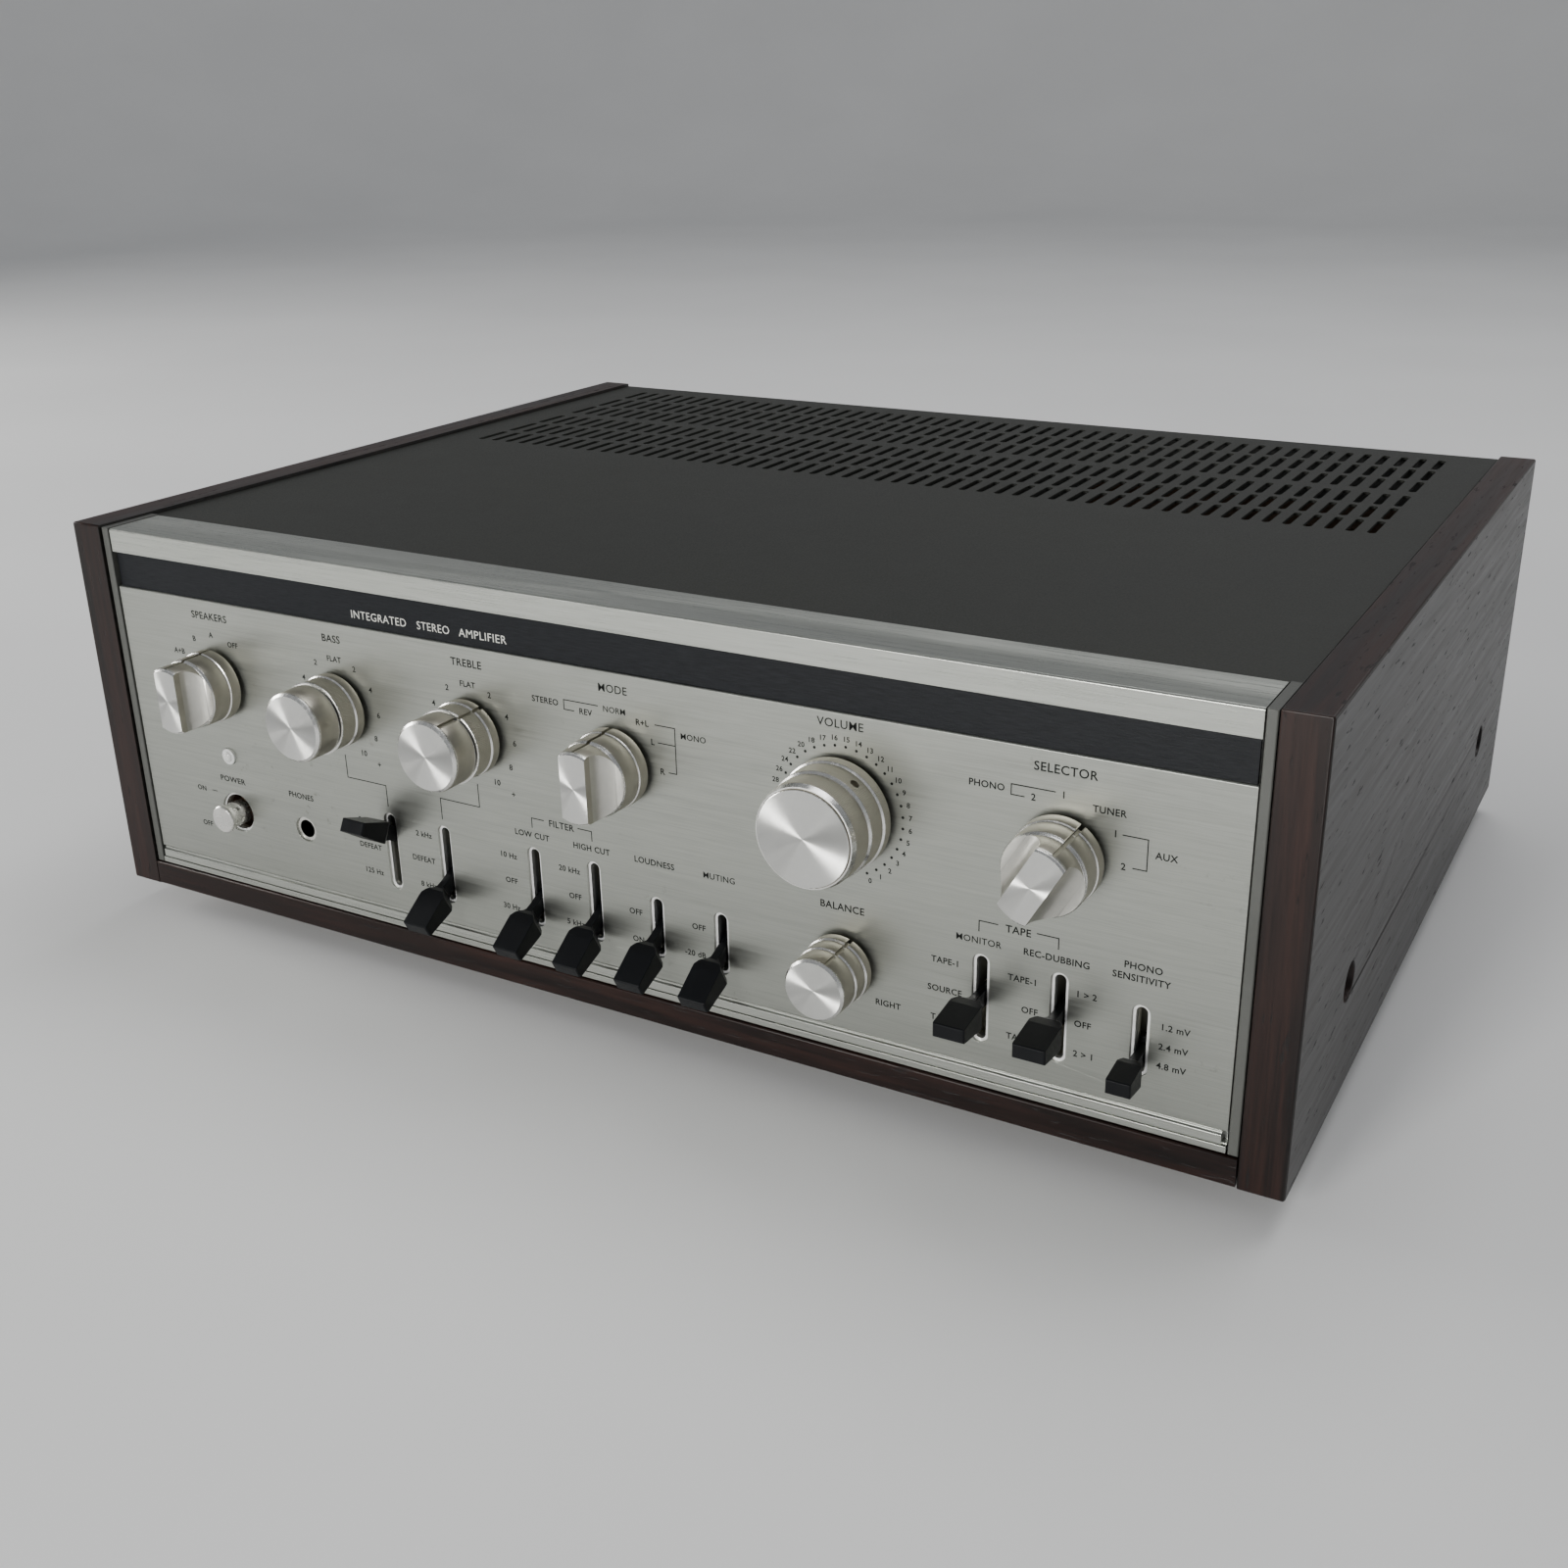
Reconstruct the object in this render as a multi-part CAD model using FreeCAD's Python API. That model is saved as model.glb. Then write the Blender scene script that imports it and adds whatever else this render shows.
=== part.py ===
# Integrated amplifier: wood-sided case, brushed front panel, rotary and lever controls.
# Millimetres, +X to the right seen from the front, +Y into the depth, +Z up.
# Shapes are drawn in a front frame (Y = 0 on the wood fronts, Z = 0 under the wood sides)
# and moved to the row frame when written: base centre of the whole amplifier at the origin.
import FreeCAD, Part
import math
import os

V = FreeCAD.Vector
os.makedirs("parts", exist_ok=True)

# ---- case ----
CASE_W = 450.0          # over the wood side panels
CASE_H = 141.2          # wood side panel height
CASE_D = 331.0          # wood side panel depth
SIDE_T = 13.5           # wood side panel thickness
EDGE_R = 0.8            # softened wood edges
FOOT_H = 10.0           # gap under the wood sides
INNER_X = CASE_W / 2 - SIDE_T
SHEET = 1.2             # chassis steel
BASE_Z = 2.0            # underside of the chassis
FLOOR_Z = BASE_Z + SHEET
WALL_X = 208.2          # half width of the chassis
COVER_TOP = 140.0
COVER_X = 210.8
COVER_Y0, COVER_Y1 = 24.0, 330.2
COVER_T = 1.0
REAR_Y = 328.8          # outer face of the rear panel
REAR_IN = REAR_Y - SHEET
LIP_Z = 133.0           # height of the screws that hold the cover to the rear
LIP_SCREWS = (-190.0, -65.0, 65.0, 190.0)
FEET = [(x, y) for x in (-168.0, 168.0) for y in (50.0, 288.0)]
SCREW_R = 2.0
HEAD_R = 4.0
CROSS_W = 0.9           # width of a cross recess

# ---- front ----
PANEL_Y = 1.5           # faceplate front
PANEL_T = 2.5
PANEL_X = 207.5         # half width of faceplate
PANEL_TOP = 119.2
BAND_TOP = 131.9
BAND_RECESS = 0.9       # the black band lies this far behind the faceplate
TRIM_TOP = 16.6
TRIM_BOT = 9.9
EXTR_TOP = 140.3
EXTR_BACK = 23.5
SUB_Y0 = PANEL_Y + PANEL_T
SUB_Y1 = SUB_Y0 + 1.5   # rear face of the sub-panel

# ---- rotary controls ----
KNOB_Z = 89.0           # upper row of controls
LEVER_Z = 38.7          # lower row of controls
SPEAKERS_X, BASS_X, TREBLE_X, MODE_X = -163.5, -106.0, -48.5, 9.0
VOLUME_X, SELECTOR_X = 87.8, 156.0
BALANCE_X = 88.0
POWER_X, PHONES_X = -163.5, -130.0
LAMP_Z = 60.9
KNOB_BACK = -0.5        # knob skirts end here, clear of the panel
KNOB_FRONT = -21.5
SHAFT_R = 3.0
INNER_SHAFT_R = 1.5
RUN = 0.06              # running clearance of shafts in bushings
BUSH_R = 4.5
BUSH_Y = 2.4            # front end of the bushings, inside the faceplate hole
HUB_R, HUB_DEPTH = 8.2, 3.0   # hollow under a knob, clear of its bushing

# ---- levers ----
LEVER_PIVOT_Y = 15.0
LEVER_THROW = 27.5      # degrees either side of level
LEVER_TIP_Y = -20.6
LEVER_W = 9.8
STEM_HALF = 1.3         # half thickness of a lever where it passes the panel
PIN_R = 1.2
THREE_POS = {"bass_turnover_lever": (-89.0, -LEVER_THROW),
             "treble_turnover_lever": (-65.0, LEVER_THROW),
             "low_cut_lever": (-27.0, LEVER_THROW),
             "high_cut_lever": (-3.0, LEVER_THROW),
             "monitor_lever": (133.0, 0.0),
             "dubbing_lever": (157.0, 0.0)}
TWO_POS = {"loudness_lever": (21.0, LEVER_THROW),
           "muting_lever": (45.0, LEVER_THROW)}
SLIDE_X = 181.0         # phono sensitivity
SLIDE_Z = 31.8
SLIDE_TRAVEL = 12.4
SLOT_W = 5.3            # opening in the faceplate
SLOT_IN = 3.3           # opening in the liner
LONG_SLOT = (24.2, 53.2)
SHORT_SLOT = (24.2, 45.9)
SLIDE_SLOT = (26.6, 49.2)
LINER_Y = PANEL_Y + 0.8

JACK_OUT = 9.0          # how far the phono sockets stand out of the rear panel
REAR_MOST = REAR_Y + JACK_OUT
SHIFT = V(0, -(KNOB_FRONT + REAR_MOST) / 2, FOOT_H)


# ---- helpers ----
def box(x0, x1, y0, y1, z0, z1):
    return Part.makeBox(x1 - x0, y1 - y0, z1 - z0, V(x0, y0, z0))


def rod_y(x, z, r, y0, y1):
    return Part.makeCylinder(r, y1 - y0, V(x, y0, z), V(0, 1, 0))


def rod_z(x, y, r, z0, z1):
    return Part.makeCylinder(r, z1 - z0, V(x, y, z0), V(0, 0, 1))


def rod_x(y, z, r, x0, x1):
    return Part.makeCylinder(r, x1 - x0, V(x0, y, z), V(1, 0, 0))


def prism(points, direction):
    wire = Part.makePolygon(points + [points[0]])
    return Part.Face(wire).extrude(direction)


def profile_x(pts_yz, x0, x1):
    return prism([V(x0, y, z) for y, z in pts_yz], V(x1 - x0, 0, 0))


def turned(x, z, pts_yr):
    """Solid of revolution about the line through (x, z) along Y; points are (y, radius)."""
    wire = Part.makePolygon([V(x + r, y, z) for y, r in pts_yr + [pts_yr[0]]])
    return Part.Face(wire).revolve(V(x, 0, z), V(0, 1, 0), 360)


def stadium(x, z0, z1, width, y0, y1):
    """Upright slot-shaped prism between heights z0 and z1."""
    r = width / 2
    lo, hi = V(x, y0, z0 + r), V(x, y0, z1 - r)
    edges = [Part.LineSegment(V(x - r, y0, lo.z), V(x - r, y0, hi.z)).toShape(),
             Part.Arc(V(x - r, y0, hi.z), V(x, y0, z1), V(x + r, y0, hi.z)).toShape(),
             Part.LineSegment(V(x + r, y0, hi.z), V(x + r, y0, lo.z)).toShape(),
             Part.Arc(V(x + r, y0, lo.z), V(x, y0, z0), V(x - r, y0, lo.z)).toShape()]
    return Part.Face(Part.Wire(edges)).extrude(V(0, y1 - y0, 0))


def fuse(shapes):
    return shapes[0].multiFuse(shapes[1:]).removeSplitter()


def cut(shape, tools):
    return shape.cut(Part.makeCompound(tools))


def spin(shape, x, z, degrees):
    """Turn a control counter-clockwise seen from the front."""
    shape.rotate(V(x, 0, z), V(0, -1, 0), degrees)
    return shape


def group(shapes):
    return Part.makeCompound(shapes)


# ---- wood ----
SIDE_HOLES = [(58.0, 40.0), (276.0, 40.0)]
SIDE_HOLE_R = 6.25
SIDE_HOLE_DEPTH = 8.0


def side_panel(sign):
    x0 = INNER_X if sign > 0 else -CASE_W / 2
    outer = sign * CASE_W / 2
    body = box(x0, x0 + SIDE_T, 0, CASE_D, 0, CASE_H)
    body = body.makeFillet(EDGE_R, [e for e in body.Edges if abs(e.BoundBox.XMin - outer) < 0.1])
    mouth = sorted((outer + sign, outer - sign * SIDE_HOLE_DEPTH))
    tools = []
    for y, z in SIDE_HOLES:
        tools.append(rod_x(y, z, SIDE_HOLE_R, mouth[0], mouth[1]))
        tools.append(rod_x(y, z, SCREW_R + 0.2, x0 - 1, x0 + SIDE_T + 1))
    return cut(body, tools)


def side_screws():
    """Screws at the bottom of the holes in the wood sides; they hold the wood to the chassis."""
    seat, head_h, recess, reach = CASE_W / 2 - SIDE_HOLE_DEPTH, 2.6, 1.2, 2.6
    screws = []
    for sign in (-1, 1):
        for y, z in SIDE_HOLES:
            screw = fuse([rod_x(y, z, HEAD_R, seat, seat + head_h), rod_x(y, z, SCREW_R, WALL_X - 4, seat)])
            for turn in (0, 90):
                slot = box(seat + head_h - recess, seat + head_h + 1, y - reach, y + reach,
                           z - CROSS_W / 2, z + CROSS_W / 2)
                slot.rotate(V(0, y, z), V(1, 0, 0), turn)
                screw = screw.cut(slot)
            if sign < 0:
                screw.rotate(V(0, y, z), V(0, 0, 1), 180)
            screws.append(screw)
    return group(screws)


def front_rail():
    gap, depth, bottom, top, edge = 0.4, 19.5, 0.3, 9.5, 0.6
    rail = box(-INNER_X + gap, INNER_X - gap, 0, depth, bottom, top)
    return rail.makeFillet(edge, [e for e in rail.Edges if e.BoundBox.YMax < 0.1 and e.Length > CASE_W / 2])


# ---- steel case ----
VENT_COLS, VENT_PITCH, VENT_LEN, VENT_W = 54, 7.24, 18.4, 3.0
VENT_ROWS = [188.5, 210.0, 231.5, 256.8, 278.3, 299.8]
BASE_COLS, BASE_PITCH = 30, 9.0
BASE_ROWS = [120.0, 150.0, 210.0, 240.0]


def vent_wire(x, y0, z):
    r = VENT_W / 2
    a, b = y0 + r, y0 + VENT_LEN - r
    return Part.Wire([Part.LineSegment(V(x - r, a, z), V(x - r, b, z)).toShape(),
                      Part.Arc(V(x - r, b, z), V(x, b + r, z), V(x + r, b, z)).toShape(),
                      Part.LineSegment(V(x + r, b, z), V(x + r, a, z)).toShape(),
                      Part.Arc(V(x + r, a, z), V(x, a - r, z), V(x - r, a, z)).toShape()])


def vented_sheet(x, y0, y1, z0, z1, cols, pitch, rows):
    """Level sheet from -x to x with rows of cooling slots."""
    corners = [V(-x, y0, z0), V(x, y0, z0), V(x, y1, z0), V(-x, y1, z0)]
    wires = [Part.makePolygon(corners + [corners[0]])]
    for row in rows:
        for i in range(cols):
            wires.append(vent_wire((i - (cols - 1) / 2) * pitch, row, z0))
    return Part.Face(wires, "Part::FaceMakerBullseye").extrude(V(0, 0, z1 - z0))


def top_cover():
    """Folded sheet: vented top, a flap down inside each wood side and a lip over the rear panel."""
    under, flap_z, lip_z = COVER_TOP - COVER_T, 70.0, 128.0
    folds = [vented_sheet(COVER_X, COVER_Y0, COVER_Y1, under, COVER_TOP, VENT_COLS, VENT_PITCH, VENT_ROWS)]
    for sign in (-1, 1):
        a, b = sorted((sign * COVER_X, sign * (COVER_X - COVER_T)))
        folds.append(box(a, b, COVER_Y0, COVER_Y1, flap_z, under))
    lip = box(-COVER_X + COVER_T, COVER_X - COVER_T, COVER_Y1 - COVER_T, COVER_Y1, lip_z, under)
    holes = [rod_y(x, LIP_Z, SCREW_R + 0.1, COVER_Y1 - 2, COVER_Y1 + 1) for x in LIP_SCREWS]
    return fuse(folds + [cut(lip, holes)])


def chassis_base():
    """Vented tray with side walls and a step up to the front sub-panel."""
    front_y, wall_top, step_z = 20.0, 96.0, 10.0
    step_top = step_z + SHEET
    inner = WALL_X - SHEET
    parts = [vented_sheet(WALL_X, front_y, REAR_IN, BASE_Z, FLOOR_Z, BASE_COLS, BASE_PITCH, BASE_ROWS)]
    for sign in (-1, 1):
        a, b = sorted((sign * WALL_X, sign * inner))
        wall = box(a, b, EXTR_BACK + 1, REAR_IN, FLOOR_Z, wall_top)
        parts.append(cut(wall, [rod_x(y, z, SCREW_R, a - 1, b + 1) for y, z in SIDE_HOLES]))
    parts.append(box(-inner, inner, front_y, front_y + SHEET, FLOOR_Z, step_top))
    parts.append(box(-inner, inner, SUB_Y1, front_y, step_z, step_top))
    return cut(fuse(parts), [rod_z(x, y, SCREW_R, BASE_Z - 1, FLOOR_Z + 1) for x, y in FEET])


FOOT_R, FOOT_TOP_R, FOOT_WELL = 14.0, 15.5, 6.0


def feet():
    pads = []
    for x, y in FEET:
        pad = Part.makeCone(FOOT_R, FOOT_TOP_R, FOOT_H + BASE_Z, V(x, y, -FOOT_H), V(0, 0, 1))
        well = rod_z(x, y, FOOT_WELL, -FOOT_H - 1, -FOOT_H + FOOT_WELL)
        pads.append(cut(pad, [well, rod_z(x, y, SCREW_R + 0.2, -FOOT_H, BASE_Z + 1)]))
    return group(pads)


# ---- front ----
FACE_HOLE_R, SUB_HOLE_R = 5.2, 4.6
POWER_HOLE_R, POWER_IN_R = 7.5, 6.75
PHONES_HOLE_R, PHONES_BORE_R = 4.7, 3.25
LAMP_R = 3.1


def control_holes(y0, y1, r):
    xs = [SPEAKERS_X, BASS_X, TREBLE_X, MODE_X, VOLUME_X, SELECTOR_X]
    return [rod_y(x, KNOB_Z, r, y0, y1) for x in xs] + [rod_y(BALANCE_X, LEVER_Z, r, y0, y1)]


def slot_list():
    """Position and height range of every lever opening."""
    slots = [(x, LONG_SLOT) for x, _ in THREE_POS.values()]
    slots += [(x, SHORT_SLOT) for x, _ in TWO_POS.values()]
    slots.append((SLIDE_X, SLIDE_SLOT))
    return slots


def faceplate():
    edge = 0.35
    plate = box(-PANEL_X, PANEL_X, PANEL_Y, SUB_Y0, TRIM_TOP, PANEL_TOP)
    plate = plate.makeChamfer(edge, [e for e in plate.Edges if e.BoundBox.YMax < PANEL_Y + 0.1
                                     and e.BoundBox.ZMin > PANEL_TOP - 0.1])
    a, b = PANEL_Y - 1, SUB_Y0 + 1
    tools = control_holes(a, b, FACE_HOLE_R)
    tools += [stadium(x, lo, hi, SLOT_W, a, b) for x, (lo, hi) in slot_list()]
    tools += [rod_y(POWER_X, LEVER_Z, POWER_HOLE_R, a, b), rod_y(PHONES_X, LEVER_Z, PHONES_HOLE_R, a, b),
              rod_y(POWER_X, LAMP_Z, LAMP_R, a, b)]
    return cut(plate, tools)


def front_subpanel():
    """Steel plate behind the faceplate that carries the switches and potentiometers."""
    top, slot_end, slot_side = 137.8, 0.9, 0.4
    plate = box(-WALL_X + SHEET, WALL_X - SHEET, SUB_Y0, SUB_Y1, TRIM_BOT, top)
    a, b = SUB_Y0 - 1, SUB_Y1 + 1
    tools = control_holes(a, b, SUB_HOLE_R)
    for x, (lo, hi) in slot_list():
        tools.append(stadium(x, lo + slot_end, hi - slot_end, SLOT_IN + slot_side, a, b))
    tools += [rod_y(POWER_X, LEVER_Z, POWER_IN_R, a, b), rod_y(PHONES_X, LEVER_Z, PHONES_HOLE_R, a, b),
              rod_y(POWER_X, LAMP_Z, LAMP_R, a, b)]
    return cut(plate, tools)


def slot_liners():
    """Bright rims set back inside the lever slots and the power switch hole."""
    rings = []
    inset = (SLOT_W - SLOT_IN) / 2
    for x, (lo, hi) in slot_list():
        ring = stadium(x, lo, hi, SLOT_W, LINER_Y, SUB_Y0)
        rings.append(ring.cut(stadium(x, lo + inset, hi - inset, SLOT_IN, LINER_Y - 1, SUB_Y0 + 1)))
    ring = rod_y(POWER_X, LEVER_Z, POWER_HOLE_R, LINER_Y, SUB_Y0)
    rings.append(ring.cut(rod_y(POWER_X, LEVER_Z, POWER_IN_R, LINER_Y - 1, SUB_Y0 + 1)))
    return group(rings)


def band_insert():
    side_gap = 0.6
    return box(-PANEL_X + side_gap, PANEL_X - side_gap, PANEL_Y + BAND_RECESS, SUB_Y0, PANEL_TOP, BAND_TOP)


def top_extrusion():
    """Angle section along the top of the front: a bright front strip and a top shelf."""
    front, shelf_t, edge = PANEL_Y - 0.3, 2.0, 0.5
    outline = [(front, BAND_TOP), (SUB_Y0, BAND_TOP), (SUB_Y0, EXTR_TOP - shelf_t),
               (EXTR_BACK, EXTR_TOP - shelf_t), (EXTR_BACK, EXTR_TOP), (front + edge, EXTR_TOP),
               (front, EXTR_TOP - edge)]
    return profile_x(outline, -PANEL_X, PANEL_X)


def bottom_trim():
    """Moulding under the faceplate: a proud ridge, a groove and a lower strip."""
    ridge_y, strip_y, groove_y = PANEL_Y - 1.1, PANEL_Y - 0.7, PANEL_Y + 0.4
    step_y, step_z = PANEL_Y - 0.2, 15.9
    groove_z, groove_h, ridge_short = 12.2, 0.3, 1.4
    ridge_z = groove_z + groove_h
    ridge = profile_x([(SUB_Y0, ridge_z), (ridge_y + 0.3, ridge_z), (ridge_y, ridge_z + 0.3),
                       (ridge_y + 0.1, step_z - 0.4), (step_y, step_z), (step_y, TRIM_TOP),
                       (SUB_Y0, TRIM_TOP)], -PANEL_X + ridge_short, PANEL_X - ridge_short)
    strip = profile_x([(SUB_Y0, TRIM_BOT), (strip_y, TRIM_BOT), (strip_y, groove_z - 0.2),
                       (groove_y, groove_z), (groove_y, ridge_z), (SUB_Y0, ridge_z)],
                      -PANEL_X, PANEL_X)
    return fuse([ridge, strip])


STRIP_X, STRIP_T, STRIP_Y, STRIP_TOP = 208.0, 3.0, 0.8, 140.5


def end_strips():
    """Upright strips that close the front between the panel and the wood sides."""
    strips = []
    for sign in (-1, 1):
        a, b = sorted((sign * STRIP_X, sign * (STRIP_X + STRIP_T)))
        strip = box(a, b, STRIP_Y, EXTR_BACK + 0.3, TRIM_BOT - 0.2, STRIP_TOP)
        strips.append(strip.makeChamfer(0.3, [e for e in strip.Edges if e.BoundBox.YMax < STRIP_Y + 0.1]))
    return group(strips)


def pilot_lens():
    """Clear domed rod with a flat collar, pushed through the faceplate from behind."""
    dome_r, collar_r, back = 2.0, 2.95, 12.0
    return turned(POWER_X, LAMP_Z, [(-0.5, 0.0), (-0.35, dome_r / 2), (0.1, 1.7), (0.6, dome_r),
                                    (0.6, dome_r + 0.3), (0.7, collar_r), (back, collar_r), (back, 0.0)])


def phones_jack():
    half, back, wall = 8.0, 40.0, 2.0
    flange = rod_y(PHONES_X, LEVER_Z, PHONES_HOLE_R - 0.1, LINER_Y, SUB_Y1)
    body = box(PHONES_X - half, PHONES_X + half, SUB_Y1, back, LEVER_Z - half, LEVER_Z + half)
    return fuse([flange, body]).cut(rod_y(PHONES_X, LEVER_Z, PHONES_BORE_R, LINER_Y - 1, back - wall))


# ---- knobs ----
SKIRT_R = 12.9          # rear section of the wing and tone knobs
WAIST_R = 12.5
NOTCH_W = 1.3           # pointer notch
NOTCH_END = 1.5         # the notch stops this far short of the knob's front


def shaft(x, z, r, y0, y1):
    rod = rod_y(x, z, r, y0, y1)
    return rod.makeChamfer(0.3, [e for e in rod.Edges if e.BoundBox.YLength < 0.01])


def hub_hollow(x, z, r=HUB_R):
    return rod_y(x, z, r, KNOB_BACK - HUB_DEPTH, 0)


def notch_at(x, z, floor, y0, y1, degrees):
    """Cutter for a pointer notch down to the given radius."""
    mark = box(x - NOTCH_W / 2, x + NOTCH_W / 2, y0, y1, z + floor, z + floor + 4)
    return spin(mark, x, z, degrees - 90)


def wing_knob(x, degrees):
    """Skirted knob whose front is a grip bar left between two scooped flanks."""
    step_y, disc_y, disc_r = -4.6, -12.4, 12.2
    bar_half, scoop_depth, bar_r, nose_r = 4.75, 7.4, 11.9, 11.05
    back = turned(x, KNOB_Z, [(KNOB_BACK, 0), (KNOB_BACK, SKIRT_R), (step_y, SKIRT_R),
                              (step_y - 0.4, WAIST_R), (disc_y + 0.4, WAIST_R), (disc_y, disc_r),
                              (disc_y, 0)])
    steps = 10
    flank = []
    for i in range(steps + 1):
        a = math.pi / 2 * i / steps
        width = bar_half + (disc_r - bar_half) * (1 - math.sin(a))
        flank.append((width, disc_y - scoop_depth * (1 - math.cos(a))))
    half_plan = [(disc_r, disc_y + 1)] + flank + [(bar_half, KNOB_FRONT)]
    plan = [V(x + w, y, KNOB_Z - disc_r) for w, y in half_plan]
    plan += [V(x - w, y, KNOB_Z - disc_r) for w, y in reversed(half_plan)]
    round_bar = turned(x, KNOB_Z, [(disc_y + 1, 0), (disc_y + 1, bar_r), (KNOB_FRONT + 1, bar_r - 0.15),
                                   (KNOB_FRONT, nose_r), (KNOB_FRONT, 0)])
    knob = fuse([back, prism(plan, V(0, 0, 2 * disc_r)).common(round_bar)])
    notch = notch_at(x, KNOB_Z, 11.0, KNOB_FRONT + NOTCH_END, KNOB_BACK + 1, degrees)
    knob = cut(knob, [hub_hollow(x, KNOB_Z), rod_y(x, KNOB_Z, SHAFT_R, -15, 0)])
    return cut(spin(knob, x, KNOB_Z, degrees - 90), [notch])


def tone_front(x, degrees):
    back, radius = -11.5, 12.2
    knob = turned(x, KNOB_Z, [(back, 0), (back, radius), (-20.1, radius), (-20.7, radius - 0.2),
                              (KNOB_FRONT, 11.1), (KNOB_FRONT, 0)])
    return cut(knob, [notch_at(x, KNOB_Z, radius - 0.9, -20.0, back + 1, degrees),
                      rod_y(x, KNOB_Z, INNER_SHAFT_R, -19, back + 1)])


def tone_rear(x, degrees):
    """Rear knob of a concentric pair, on a sleeve that carries the front knob's shaft."""
    front, ring_y, step_y = -11.0, -10.5, -3.6
    knob = turned(x, KNOB_Z, [(KNOB_BACK, 0), (KNOB_BACK, SKIRT_R), (step_y, SKIRT_R),
                              (step_y - 0.4, WAIST_R), (ring_y + 0.2, WAIST_R), (ring_y, SKIRT_R),
                              (front + 0.1, SKIRT_R - 0.2), (front, WAIST_R), (front, 0)])
    knob = fuse([knob.cut(hub_hollow(x, KNOB_Z)), rod_y(x, KNOB_Z, SHAFT_R, -6, 14)])
    return cut(knob, [notch_at(x, KNOB_Z, 11.8, front - 1, KNOB_BACK + 1, degrees),
                      rod_y(x, KNOB_Z, INNER_SHAFT_R + RUN, front - 1, 15)])


def volume_knob(degrees):
    """Large knob in three steps, with a round pointer dimple in its middle section."""
    x = VOLUME_X
    rear_r, middle_r, front_r, face_r = 17.3, 16.8, 16.15, 14.7
    knob = turned(x, KNOB_Z, [(KNOB_BACK, 0), (KNOB_BACK, rear_r - 0.3), (KNOB_BACK - 0.3, rear_r),
                              (-4.1, rear_r), (-4.5, middle_r), (-11.2, middle_r), (-11.95, front_r),
                              (-19.2, front_r), (-20.85, face_r + 0.7), (KNOB_FRONT, face_r),
                              (KNOB_FRONT, 0)])
    dimple_r, dimple_y, dimple_floor = 1.4, -7.9, 15.3
    dimple = Part.makeCylinder(dimple_r, 6, V(x, dimple_y, KNOB_Z + dimple_floor), V(0, 0, 1))
    return cut(knob, [spin(dimple, x, KNOB_Z, degrees - 90), hub_hollow(x, KNOB_Z),
                      rod_y(x, KNOB_Z, SHAFT_R, -17, 0)])


def balance_knob(degrees):
    x, front = BALANCE_X, -17.2
    rear_r, middle_r, front_r, face_r = 10.8, 10.4, 10.05, 9.2
    knob = turned(x, LEVER_Z, [(KNOB_BACK, 0), (KNOB_BACK, rear_r), (-3.4, rear_r), (-3.8, middle_r),
                               (-9.1, middle_r), (-9.5, front_r), (front + 1.2, front_r),
                               (front + 0.6, front_r - 0.2), (front, face_r), (front, 0)])
    return cut(knob, [notch_at(x, LEVER_Z, 9.3, front + 1.3, KNOB_BACK + 1, degrees),
                      hub_hollow(x, LEVER_Z, 7.4), rod_y(x, LEVER_Z, SHAFT_R, -13, 0)])


# ---- levers ----
def paddle(x, z, side, plan):
    """Solid under both a side outline (y, half height) and a plan outline (half width, y)."""
    widest = max(w for w, _ in plan)
    upper = [(y, z + h) for y, h in side]
    lower = [(y, z - h) for y, h in reversed(side)]
    slab = profile_x(upper + lower, x - widest, x + widest)
    outline = [V(x + w, y, z - 6) for w, y in plan] + [V(x - w, y, z - 6) for w, y in reversed(plan)]
    return slab.common(prism(outline, V(0, 0, 12)))


def rocker(x, degrees):
    """Flat paddle on a thin stem that swings about a pin behind the panel; degrees > 0 is tip down."""
    tip, pivot, half = LEVER_TIP_Y, LEVER_PIVOT_Y, LEVER_W / 2
    stem_h, stem_y, hub_r = 2.6, 11.0, 3.4
    side = [(tip, 2.0), (tip + 0.4, 2.3), (-9.5, 3.7), (-6.2, 3.8), (-4.6, 3.0), (-1.5, stem_h),
            (stem_y, stem_h)]
    plan = [(half - 0.4, tip), (half, tip + 0.4), (half, -8.2), (half - 1.0, -6.6), (STEM_HALF + 0.9, -5.0),
            (STEM_HALF, -3.8), (STEM_HALF, stem_y)]
    arm = box(x - STEM_HALF, x + STEM_HALF, stem_y - 2, pivot, LEVER_Z - stem_h, LEVER_Z + stem_h)
    hub = rod_x(pivot, LEVER_Z, hub_r, x - STEM_HALF, x + STEM_HALF)
    lever = fuse([paddle(x, LEVER_Z, side, plan), arm, hub])
    lever = lever.cut(rod_x(pivot, LEVER_Z, PIN_R + RUN, x - 3, x + 3))
    lever.rotate(V(x, pivot, LEVER_Z), V(1, 0, 0), degrees)
    return lever


def slider():
    """Short paddle on a carriage that slides up and down."""
    x, z, tip, half = SLIDE_X, SLIDE_Z, -15.4, 3.6
    stem_h, stem_y, carriage_y = 2.6, 7.6, (7.4, 10.4)
    side = [(tip, 2.0), (tip + 0.4, 2.3), (-6.5, 3.4), (-4.5, 3.4), (-3.0, stem_h), (stem_y, stem_h)]
    plan = [(half - 0.4, tip), (half, tip + 0.4), (half, -6.2), (half - 0.8, -4.8), (STEM_HALF, -3.2),
            (STEM_HALF, stem_y)]
    carriage = box(x - 3.0, x + 3.0, carriage_y[0], carriage_y[1], z - 4.2, z + 4.2)
    return fuse([paddle(x, z, side, plan), carriage])


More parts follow.
